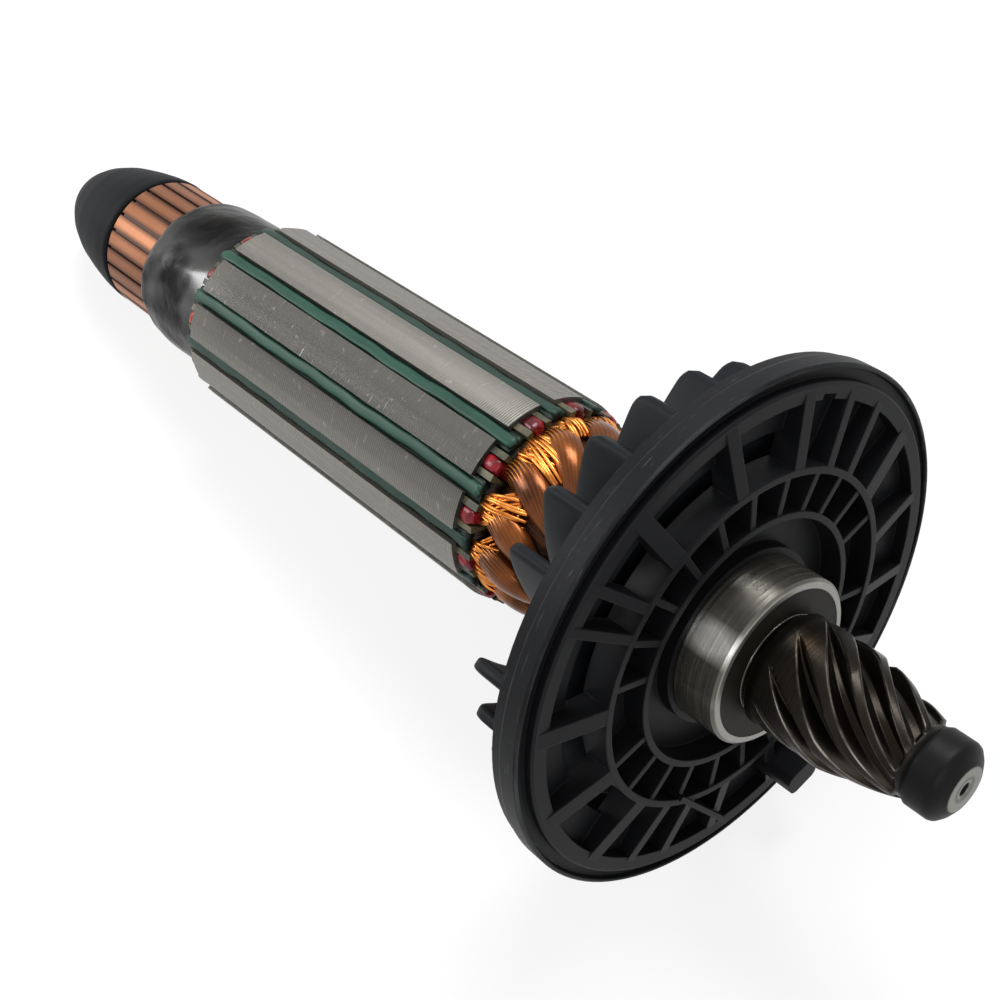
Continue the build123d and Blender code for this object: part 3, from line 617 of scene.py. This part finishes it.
def buildShaft():
    # radius = blank - (blank - root) * fall(u), u the turn from the nearest crest in tooth pitches; the crests wind
    # round by a fixed turn per millimetre, and rows run from the rear end to the bottom of the centre hole
    v = shaft
    teethRows = np.arange(v["start"], v["end"], v["toothStep"])[1:]
    rear = finerPath(v["rearPath"], v["rearStep"])
    tip = finerPath(v["tipPath"], v["tipStep"])
    toothed = slice(len(rear), len(rear) + len(teethRows))
    heights = np.concatenate([rear[:, 1], teethRows, tip[:, 1]])
    cone = (heights - v["coneStart"]) / (v["coneEnd"] - v["coneStart"])
    blank = v["collar"] + (v["coneTip"] - v["collar"]) * np.clip(cone, 0, v["coneBeyond"])
    plain = np.concatenate([rear[:, 0], blank[toothed], tip[:, 0]])
    table = v["rootHeights"]
    root = np.interp(heights, table, v["roots"])
    land = np.interp(heights, table, v["lands"]) / 2
    floor = np.interp(heights, table, v["floors"]) / 2
    cut = np.zeros(len(heights))
    cut[toothed] = 1.0
    cols = v["teeth"] * v["columnsPerTooth"]
    share = np.arange(cols) / cols * v["teeth"]
    crest = np.abs((share + 0.5) % 1.0 - 0.5)
    flank = np.maximum(0.5 - floor - land, v["leastFlank"])
    fall = smoothstep((crest[None] - land[:, None]) / flank[:, None])
    radius = plain[:, None] - (plain - np.minimum(root, plain))[:, None] * fall * cut[:, None]
    wind = v["turn"] * (np.clip(heights, v["start"], v["end"]) - v["start"])
    angle = v["phase"] + share[None] * 360.0 / v["teeth"] + wind[:, None]
    grid = ringPoints(radius, heights[:, None], angle)
    points = withPoles(grid, (0, 0, heights[0]), (0, 0, heights[-1]))
    faces = [face[::-1] for face in turnFaces(len(heights), cols, False)]
    pointMap = np.stack([fall, cut[:, None] * np.ones(cols)[None]], -1).reshape(-1, 2)
    pointMap = np.concatenate([pointMap, np.zeros((2, 2))])
    piece = putPiece("spiralPinionShaft", points, faces, "rotor", finishes["steel"], pointMap)
    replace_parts(piece, "shaft")


buildShaft()

cap = {
    "outer": [(18.0, -248.6), (20.4, -248.6), (19.9, -255.0), (18.8, -262.0), (16.9, -271.0), (14.3, -278.5),
              (11.3, -284.4), (7.7, -288.7), (3.9, -291.2), (0.3, -292.2)],
    "inner": [(0.3, -282.0), (9.5, -282.0), (11.5, -279.5), (11.5, -271.5), (15.0, -271.5), (15.0, -262.0),
              (17.5, -259.0), (18.0, -248.9)],
    "columns": 96, "innerStep": 1.0, "outerStep": 0.6, "passes": 6,
}


def buildCap():
    # a profile turned about the shaft: eased outside, the bearing's pocket inside
    outer = roundedPath(cap["outer"], cap["outerStep"], cap["passes"])
    path = np.concatenate([finerPath(cap["inner"], cap["innerStep"]), outer])
    points = withPoles(turnedPath(path, cap["columns"]), (0, 0, path[0, 1]), (0, 0, path[-1, 1]))
    piece = putPiece("rubberEndCap", points, turnFaces(len(path), cap["columns"], False),
                     "rear_carrier", finishes["cap_rubber"])
    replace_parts(piece, "rear_cap")


buildCap()

wrap = {
    "outer": [(22.22, -192.9), (22.22, -217.1), (21.8, -221.8), (21.6, -224.3), (20.8, -225.3)],
    "inner": [(20.2, -225.3), (20.2, -224.35), (21.1, -224.3), (21.1, -221.8), (21.52, -217.1), (21.52, -192.9)],
    "columns": 180, "outerStep": 0.8, "passes": 3, "innerStep": 2.0, "seed": 4,
    # the lumps: their height, how many waves go round, how far these lean, and the share that is even
    "lump": 0.42, "waves": (2, 3, 5, 7, 11, 16), "lean": 0.35, "uneven": 0.6, "even": 0.4,
}


def buildWrap():
    # a closed profile turned about the shaft; the outside rises by a sum of slow waves round and along it
    rng = np.random.default_rng(wrap["seed"])
    outer = roundedPath(wrap["outer"], wrap["outerStep"], wrap["passes"])
    inner = finerPath(wrap["inner"], wrap["innerStep"])
    path = np.concatenate([outer, inner])
    angle = np.arange(wrap["columns"]) * 360.0 / wrap["columns"]
    raised = np.concatenate([np.ones(len(outer)), np.zeros(len(inner))])[:, None]
    lumps = np.zeros((len(path), wrap["columns"]))
    for waves in wrap["waves"]:
        turn, lean = rng.uniform(*anyPhase), rng.uniform(-wrap["lean"], wrap["lean"])
        lumps += np.sin(waves * np.radians(angle)[None] + path[:, 1:] * lean + turn) / math.sqrt(waves)
    radius = path[:, :1] + raised * (wrap["lump"] * lumps * wrap["uneven"] + wrap["lump"] * wrap["even"])
    grid = ringPoints(radius, path[:, 1:], angle[None] + np.zeros_like(radius))
    piece = putPiece("varnishedWrap", grid.reshape(-1, 3), turnFaces(len(path), wrap["columns"], True),
                     "rotor", finishes["black_varnish"])
    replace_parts(piece, "rear_bandage")


buildWrap()

coils = {
    "slots": 12, "phase": 15.8, "seed": 11,
    # the resin body under the coils, front and rear, and the bars of wire in the slots
    "front": [(10.45, -51.0), (12.6, -51.0), (16.0, -52.6), (18.6, -55.6), (20.4, -60.0), (21.0, -65.0),
              (20.8, -70.75), (10.45, -70.75)],
    "rear": [(10.45, -192.3), (20.3, -192.3), (21.4, -194.2), (21.4, -217.0), (20.1, -220.5), (10.45, -220.5)],
    "columns": 144, "bodyStep": 2.0,
    "sideRadii": (14.8, 23.8), "sideHalfWidths": (1.7, 2.9), "sideEnds": (-192.4, -70.7),
}


def slotAngle(slot):
    return coils["phase"] + slot * 360.0 / coils["slots"]


def buildCoilBody():
    # two turned bodies, and a straight bar of tapered section in each slot between them
    shells = Shells()
    for profile in (coils["front"], coils["rear"]):
        path = finerPath(profile, coils["bodyStep"])
        shells.add(turnedPath(path, coils["columns"]).reshape(-1, 3), turnFaces(len(path), coils["columns"], True))
    low, high = coils["sideRadii"]
    narrow, wide = coils["sideHalfWidths"]
    corners = np.array([[-narrow, low], [narrow, low], [wide, high], [-wide, high]])
    quads = [[0, 1, 2, 3], [7, 6, 5, 4], [4, 5, 1, 0], [5, 6, 2, 1], [6, 7, 3, 2], [7, 4, 0, 3]]
    for slot in range(coils["slots"]):
        ends = [besideLine(corners[:, 0], corners[:, 1], np.full(4, height), slotAngle(slot))
                for height in coils["sideEnds"]]
        shells.add(np.concatenate(ends), quads, flip=True)
    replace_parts(shells.put("coilBody", finishes["copper_wire"]), "windings")


def tubeAlong(line, wide, tall, sides, flutes, depth):
    # an oval section square to a path: point = line + side * wide * cos(a) * g + out * tall * sin(a) * g, with g a
    # ripple round the section that fades along the path; a pole closes each end
    section = np.arange(sides) * 2 * math.pi / sides - math.pi / 2
    ahead = np.gradient(line, axis=0)
    ahead /= np.linalg.norm(ahead, axis=1)[:, None]
    side = np.cross(ahead, line * [1, 1, 0])
    side /= np.linalg.norm(side, axis=1)[:, None]
    out = np.cross(side, ahead)
    ripple = 1 + depth[:, None] * (np.abs(np.sin(section[None] * flutes / 2)) - 0.6)
    tube = line[:, None] + side[:, None] * (wide[:, None] * np.cos(section) * ripple)[:, :, None]
    tube = tube + out[:, None] * (tall[:, None] * np.sin(section) * ripple)[:, :, None]
    around, far = np.meshgrid(np.arange(sides) / sides, np.linspace(0, 1, len(line)))
    pointMap = np.concatenate([np.stack([around, far], -1).reshape(-1, 2), [[0.5, 0.0], [0.5, 1.0]]])
    return withPoles(tube, line[0], line[-1]), pointMap


lobes = {
    # at the start, the middle and the end: value and random spread, in degrees from the slot and in mm
    "turns": [(-8.0, 2.0), (-14.0, 2.5), (-40.0, 5.0)],
    "heights": [(-72.4, 0.3), (-62.0, 0.8), (-50.5, 1.2)],
    "radii": [(20.4, 0.2), (21.9, 0.5), (17.4, 0.8)],
    "halfWidth": 3.9, "halfHeight": 2.7, "sides": 78, "steps": 60,
    "flutes": 26, "fluteDepth": 0.045, "fluteFade": 0.93, "fluteUntil": 0.5,
    # how the section swells along the path: rounded start, base, bulge, thinning, rounded end
    "nose": 0.12, "base": 0.78, "bulge": 0.32, "thinning": 0.42, "thinFrom": 0.5, "tailFrom": 0.93, "tail": 0.07,
    "least": 0.01,
}


def buildLobes():
    # a path through three points of angle, height and radius, as a parabola in each, with an oval section that
    # swells and then thins; its fluting is the strands that the resin leaves bare
    v = lobes
    rng = np.random.default_rng(coils["seed"])
    t = np.linspace(0.0, 1.0, v["steps"])
    first, middle, last = (1 - t) * (1 - 2 * t), 4 * t * (1 - t), t * (2 * t - 1)
    nose = np.sqrt(np.clip(1 - (1 - t / v["nose"]) ** 2, 0, 1))
    swell = nose * (t < v["nose"]) + (t >= v["nose"])
    swell = swell * (v["base"] + v["bulge"] * np.sin(math.pi * t)
                     - v["thinning"] * smoothstep((t - v["thinFrom"]) / (1 - v["thinFrom"])))
    tail = np.sqrt(np.clip(1 - ((t - v["tailFrom"]) / v["tail"]) ** 2, 0, 1))
    swell *= tail * (t > v["tailFrom"]) + (t <= v["tailFrom"])
    swell = np.maximum(swell, v["least"])
    depth = v["fluteDepth"] * (1 - v["fluteFade"] * smoothstep(t / v["fluteUntil"]))
    faces = turnFaces(len(t), v["sides"], False)
    shells = Shells()

    def bend(name):
        values, spreads = np.array(v[name]).T
        a, b, c = values + rng.uniform(-1, 1, 3) * spreads
        return a * first + b * middle + c * last

    for slot in range(coils["slots"]):
        angle = slotAngle(slot) + bend("turns")
        height = bend("heights")
        radius = bend("radii")
        tube, pointMap = tubeAlong(ringPoints(radius, height, angle), v["halfWidth"] * swell,
                                   v["halfHeight"] * swell, v["sides"], v["flutes"], depth)
        shells.add(tube, faces, flip=True, pointMap=pointMap)
    shells.put("coilLobes", lobeFinish)


strands = {
    "perLayer": 8, "layers": 2, "wire": 0.43, "sides": 7, "steps": 22,
    # for each slot: the length in mm, the shift and the lean in degrees
    "lengths": [17.0, 8.5, 9.0, 12.0, 8.0, 15.0, 9.0, 12.0, 8.0, 7.5, 7.5, 13.5],
    "shifts": [8.5, 4.0, 5.0, -3.0, 4.0, 6.0, 3.0, -4.0, 5.0, 8.0, -5.0, -6.0],
    "leans": [-7.0, -3.0, -6.0, -9.0, -4.0, -8.0, -5.0, -9.0, -4.0, -7.0, -3.0, 4.0],
    "lengthSpread": (0.85, 1.08), "leanSpread": 2.0, "leanPower": 1.4,
    # the second layer is shorter, leans more, starts further back and lies lower
    "layerShorter": 0.25, "layerLean": 14.0, "layerBack": 7.0, "layerDrop": 0.55,
    # between strands: degrees, how they open out along the bunch, and how the slot gathers them
    "spacing": 2.15, "openOut": 0.25, "gather": 0.3,
    "face": -72.6, "radius": 22.1, "crown": 0.035,
    "arch": 2.35, "archSpan": 0.9, "archStart": 0.12, "archPower": 0.7,
    "dive": 2.2, "diveFrom": -62.0, "diveLength": 9.0,
    # slow random waves: size and waves, sideways in degrees and outwards in mm
    "sway": 0.7, "swayWaves": 5.0, "liftSpread": 0.22, "ripple": 0.12, "rippleWaves": 8.0,
}


def buildStrands():
    # each bare strand rises out of its slot, runs along the shaft with a lean and dives under the next lobe:
    # angle = start + lean * t ^ power, height = face + length * t, radius = root + arch(t) - dive(height)
    v = strands
    rng = np.random.default_rng(coils["seed"] + 1)
    t = np.linspace(0.0, 1.0, v["steps"])
    spread = 1 + v["openOut"] * t - v["gather"] * (1 - t) ** 3
    arch = v["arch"] * np.sin(math.pi * np.clip(t * v["archSpan"] + v["archStart"], 0, 1)) ** v["archPower"]
    width = np.full(len(t), v["wire"])
    faces = turnFaces(len(t), v["sides"], False)
    shells = Shells()
    for slot in range(coils["slots"]):
        for layer in range(v["layers"]):
            for strand in range(v["perLayer"]):
                place = strand - (v["perLayer"] - 1) / 2 + 0.5 * layer
                length = v["lengths"][slot] * (1 - v["layerShorter"] * layer) * rng.uniform(*v["lengthSpread"])
                lean = v["leans"][slot] + v["layerLean"] * layer + rng.uniform(-v["leanSpread"], v["leanSpread"])
                start = slotAngle(slot) + v["shifts"][slot] - v["layerBack"] * layer
                angle = start + place * v["spacing"] * spread + lean * t ** v["leanPower"]
                sway = rng.uniform(-v["sway"], v["sway"])
                angle = angle + sway * np.sin(t * v["swayWaves"] + rng.uniform(*anyPhase))
                height = v["face"] + length * t
                dive = v["dive"] * smoothstep((height - v["diveFrom"]) / v["diveLength"])
                radius = v["radius"] - v["layerDrop"] * layer + arch - dive - v["crown"] * place ** 2
                lift = rng.uniform(-v["liftSpread"], v["liftSpread"])
                radius = radius + lift + v["ripple"] * np.sin(t * v["rippleWaves"] + rng.uniform(*anyPhase))
                tube, pointMap = tubeAlong(ringPoints(radius, height, angle), width, width, v["sides"], 0,
                                           np.zeros(len(t)))
                shells.add(tube, faces, flip=True, pointMap=pointMap)
    shells.put("coilStrands", wireFinish)


buildCoilBody()
buildLobes()
buildStrands()

arms = {
    "halfWidth": 2.0, "shoulder": 1.75, "widening": 0.12, "inside": 15.2, "outside": 26.15, "tip": 1.0,
    "square": 3.2, "ends": [(-75.8, -70.75), (-192.25, -189.2)], "hub": (10.42, 15.6), "hubColumns": 72,
    "rows": 26, "rowPower": 0.75, "sections": 32, "seed": 3,
    # what the rounding of the tip leaves of the width and of the depth
    "tipWidth": 0.45, "tipDepth": 0.35, "least": 0.02,
    # lumps: size, waves per mm along the arm and round it, and the second wave's share
    "lump": 0.10, "longWave": (1.3, 2), "shortWave": (2.7, 3), "shortShare": 0.6, "draws": 4,
    "leaner": 0.8, "flatter": 0.5,
}


def buildArms():
    # an arm over each tooth, along the radius: |x / half width| ^ n + |z / half depth| ^ n = 1 with slow lumps, and a
    # round tip; the washer under them is a closed turned profile
    v = arms
    rng = np.random.default_rng(v["seed"])
    around, wide, deep = squareRound(v["sections"], v["square"])
    reach = np.linspace(0, 1, v["rows"]) ** v["rowPower"]
    radius = v["inside"] + (v["outside"] - v["inside"]) * reach
    toTip = np.clip((v["outside"] - radius) / v["tip"], 0.0, 1.0)
    swell = np.maximum(np.sqrt(1 - (1 - toTip) ** 2), v["least"])
    half = np.minimum(v["halfWidth"], v["shoulder"] + (radius - v["inside"]) * v["widening"])
    half = half * (v["tipWidth"] + (1 - v["tipWidth"]) * swell)
    thin = (v["tipDepth"] + (1 - v["tipDepth"]) * swell)[:, None]
    faces = turnFaces(v["rows"], v["sections"], False)
    shells = Shells()
    for low, high in v["ends"]:
        middle, depth = (low + high) / 2, (high - low) / 2
        for tooth in range(coils["slots"]):
            starts = rng.uniform(*anyPhase, v["draws"])
            long, short = [np.sin(radius[:, None] * along + start + around * turns) for (along, turns), start
                           in zip((v["longWave"], v["shortWave"]), starts)]
            lump = v["lump"] * (long + short * v["shortShare"])
            x = half[:, None] * wide * (1 - v["lump"] * v["leaner"] + lump)
            z = middle + depth * thin * deep * (1 - v["lump"] * v["flatter"] + lump * v["flatter"])
            grid = besideLine(x, radius[:, None] + np.zeros_like(x), z, slotAngle(tooth + 0.5))
            shells.add(withPoles(grid, grid[0].mean(0), grid[-1].mean(0)), faces, flip=True)
        inner, outer = v["hub"]
        ring = np.array([(outer, high), (outer, low), (inner, low), (inner, high)])
        shells.add(turnedPath(ring, v["hubColumns"]).reshape(-1, 3), turnFaces(4, v["hubColumns"], True))
    piece = shells.put("redInsulatorArms", finishes["insulator_red"])
    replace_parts(piece, "front_insulator", "rear_insulator")


buildArms()

wedges = {
    # half section in mm: from the slot's centre line and from the shaft
    "section": [(0.0, 24.05), (2.6, 24.05), (2.6, 25.15), (1.62, 25.3), (1.55, 25.95), (1.25, 26.18), (0.7, 26.28),
                (0.0, 26.3)],
    "sectionStep": 0.5, "ends": (-192.2, -70.9), "ragged": 0.9, "step": 1.4, "seed": 7,
    # above this radius the wedge drifts sideways and lifts, by two waves each: size and waves per mm
    "looseAbove": 25.2, "sink": 0.12, "drift": 0.16, "driftWaves": (0.16, 0.43), "driftShare": 0.6, "narrower": 0.4,
    "lifts": (0.12, 0.08), "liftWaves": (0.11, 0.5),
}


def buildWedges():
    # one section carried straight along each slot; its width and height drift by slow waves, and its ends are ragged
    v = wedges
    rng = np.random.default_rng(v["seed"])
    half = finerPath(v["section"], v["sectionStep"])
    section = np.concatenate([half, (half * [-1, 1])[-2:0:-1]])
    heights = np.arange(v["ends"][0], v["ends"][1], v["step"])
    loose = section[None, :, 1] > v["looseAbove"]
    faces = turnFaces(len(heights), len(section), False)
    shells = Shells()
    for slot in range(coils["slots"]):
        starts = rng.uniform(*anyPhase, 4)
        waves = [np.sin(heights * speed + start) for speed, start in zip(v["driftWaves"] + v["liftWaves"], starts)]
        drift = waves[0] + v["driftShare"] * waves[1]
        lift = v["lifts"][0] * waves[2] + v["lifts"][1] * waves[3]
        x = section[None, :, 0] * (1 - v["drift"] * v["narrower"]) + v["drift"] * drift[:, None] * loose
        out = section[None, :, 1] + lift[:, None] * loose - v["sink"]
        z = heights[:, None] + np.zeros_like(x)
        ends = rng.uniform(-1, 1, (2, len(section))) * v["ragged"]
        z[0] += np.convolve(ends[0], np.ones(3) / 3, "same")
        z[-1] += np.convolve(ends[1], np.ones(3) / 3, "same")
        grid = besideLine(x, out, z, slotAngle(slot))
        shells.add(withPoles(grid, grid[0].mean(0), grid[-1].mean(0)), faces)
    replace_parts(shells.put("greenWedges", finishes["wedge_green"]), "slot_wedges")


buildWedges()

fan = {
    "blades": 24, "broken": 22, "stub": 41.0, "phase": 3.4, "lean": 41.0, "outer": 52.8, "inner": 26.5,
    "front": -21.6, "rear": -37.6, "drop": 7.0, "corner": 3.0, "thickOuter": 3.2, "thickInner": 2.0,
    "edge": 0.8, "edgeThinner": 0.35, "sections": 30, "rows": 22, "rowPower": 0.6, "square": 5.0,
    "hub": [(8.2, -12.0), (11.6, -12.0), (11.6, -19.5), (13.5, -20.7), (45.6, -20.7), (46.0, -21.1), (46.0, -22.5),
            (45.6, -22.9), (17.0, -22.9), (13.9, -25.8), (13.5, -27.0), (13.5, -31.9), (12.5, -50.0), (8.2, -50.0)],
    "hubStep": 4.0, "hubColumns": 120,
}


def buildFan():
    # a blade's middle line in plan: angle = phase + tan(lean) * ln(r / outer); its section at each radius is
    # |x / half thickness| ^ n + |z / half height| ^ n = 1, and the height shrinks at both ends of the blade
    v = fan
    _, wide, tall = squareRound(v["sections"], v["square"])
    t = np.linspace(0, 1, v["rows"]) ** v["rowPower"]
    faces = turnFaces(v["rows"], v["sections"], False)
    shells = Shells()
    for blade in range(v["blades"]):
        outer = v["stub"] if blade == v["broken"] else v["outer"]
        radius = v["inner"] + (outer - v["inner"]) * t
        toEnd = np.clip((outer - radius) / v["corner"], 0, 1)
        rise = v["corner"] * (1 - np.sqrt(1 - (1 - toEnd) ** 2))
        slope = v["drop"] * np.clip(1 - (radius - v["inner"]) / v["drop"], 0, 1)
        low = v["rear"] + np.maximum(rise, slope)
        thick = v["thickInner"] + (v["thickOuter"] - v["thickInner"]) * t
        thick *= 1 - v["edgeThinner"] * (1 - np.clip((outer - radius) / v["edge"], 0, 1)) ** 2
        swing = math.degrees(math.tan(math.radians(v["lean"]))) * np.log(radius / v["outer"])
        line = ringPoints(radius, 0.0, v["phase"] + blade * 360.0 / v["blades"] + swing)
        ahead = np.gradient(line, axis=0)
        ahead /= np.linalg.norm(ahead, axis=1)[:, None]
        across = np.stack([-ahead[:, 1], ahead[:, 0], ahead[:, 2]], -1)
        middle, half = (low + v["front"]) / 2, (v["front"] - low) / 2
        grid = line[:, None] + across[:, None] * (wide[None] * thick[:, None] / 2)[:, :, None]
        grid[:, :, 2] = middle[:, None] + half[:, None] * tall[None]
        shells.add(withPoles(grid, (*line[0, :2], middle[0]), (*line[-1, :2], middle[-1])), faces)
    path = finerPath(v["hub"], v["hubStep"])
    shells.add(turnedPath(path, v["hubColumns"]).reshape(-1, 3), turnFaces(len(path), v["hubColumns"], True))
    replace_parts(shells.put("coolingFan", finishes["fan_plastic"]), "fan")


buildFan()
print("pieces built")

# stage, light and camera

studio = {
    "floor": 6.0, "background": 0.36, "floorColour": (0.93, 0.93, 0.93), "floorRough": 0.9, "whiteShare": 0.82,
    "lamps": [
        # name, place (m), aim (m), width (m), height (m), power (W)
        ("keyAbove", (-0.25, 0.45, 1.3), (0.05, 0.0, 0.05), 0.7, 0.5, 17.0),
        ("fillFront", (1.1, -0.7, 0.9), (0.1, 0.0, 0.05), 1.0, 0.8, 6.0),
        ("windowRear", (-0.95, -0.66, 0.60), (0.05, 0.0, 0.06), 0.40, 0.55, 8.0),
    ],
}


def seenRays(tree):
    # 1 for what the camera sees, straight on, mirrored or through glass
    seen = tree.nodes.new("ShaderNodeLightPath")
    straight, mirrored, through = [Wire(tree, seen.outputs[f"Is {ray} Ray"])
                                   for ray in ("Camera", "Glossy", "Transmission")]
    return straight.math("MAXIMUM", mirrored).math("MAXIMUM", through)


def buildStage():
    # a square floor under the object; what the camera sees of it is lifted towards white, with the shadow kept
    half = studio["floor"] / 2
    mesh = bpy.data.meshes.new("floor")
    mesh.from_pydata([(-half, -half, 0), (half, -half, 0), (half, half, 0), (-half, half, 0)], [], [(0, 1, 2, 3)])
    floor = bpy.data.objects.new("floor", mesh)
    bpy.context.scene.collection.objects.link(floor)
    material = bpy.data.materials.new("floorWhite")
    material.use_nodes = True
    tree = material.node_tree
    shader = tree.nodes["Principled BSDF"]
    shader.inputs["Base Color"].default_value = (*studio["floorColour"], 1)
    shader.inputs["Roughness"].default_value = studio["floorRough"]
    glow = tree.nodes.new("ShaderNodeEmission")
    blend = tree.nodes.new("ShaderNodeMixShader")
    plug(tree, blend.inputs[0], seenRays(tree) * studio["whiteShare"])
    tree.links.new(shader.outputs[0], blend.inputs[1])
    tree.links.new(glow.outputs[0], blend.inputs[2])
    tree.links.new(blend.outputs[0], tree.nodes["Material Output"].inputs["Surface"])
    mesh.materials.append(material)


def buildLights():
    # soft lamps, and an even pale world that shows white to the camera and in reflections
    world = bpy.data.worlds.new("studioWorld")
    world.use_nodes = True
    bpy.context.scene.world = world
    tree = world.node_tree
    back = tree.nodes["Background"]
    back.inputs["Color"].default_value = (1, 1, 1, 1)
    plug(tree, back.inputs["Strength"], seenRays(tree) * (1 - studio["background"]) + studio["background"])
    for name, place, aim, width, height, power in studio["lamps"]:
        lamp = bpy.data.lights.new(name, "AREA")
        lamp.shape = "RECTANGLE"
        lamp.size, lamp.size_y, lamp.energy = width, height, power
        holder = bpy.data.objects.new(name, lamp)
        way = np.array(place, float) - np.array(aim, float)
        way /= np.linalg.norm(way)
        right = np.cross([0, 0, 1], way)
        right /= np.linalg.norm(right)
        turn = np.eye(4)
        turn[:3, :3] = np.stack([right, np.cross(way, right), way], 1)
        turn[:3, 3] = place
        holder.matrix_world = Matrix(turn.tolist())
        bpy.context.scene.collection.objects.link(holder)


# the photograph's camera: where the shaft's frame stands in the camera's (x right, y down, z ahead), millimetres
view = {
    "focalPixels": 1577.7948, "imagePixels": 1000, "sensor": 36.0, "clipStart": 0.01,
    "origin": (58.3035, 34.1154, 328.7405),
    "side": (0.572, -0.8202, 0.0), "top": (-0.5049, -0.3521, -0.7881), "shaft": (0.6465, 0.4508, -0.6155),
}


def buildCamera():
    rows = np.array([view["side"], view["top"], view["shaft"]])
    turn = np.eye(4)
    turn[:3, :3] = shaftAxes.T @ rows @ np.diag([1.0, -1.0, -1.0])
    turn[:3, 3] = toWorld(-rows @ np.array(view["origin"]))
    camera = bpy.data.cameras.new("photoCamera")
    camera.sensor_width = view["sensor"]
    camera.lens = view["sensor"] * view["focalPixels"] / view["imagePixels"]
    camera.clip_start = view["clipStart"]
    holder = bpy.data.objects.new("photoCamera", camera)
    holder.matrix_world = Matrix(turn.tolist())
    bpy.context.scene.collection.objects.link(holder)
    bpy.context.scene.camera = holder


buildStage()
buildLights()
buildCamera()
bpy.context.scene.view_settings.view_transform = "Standard"
print("stage, lamps and camera set")
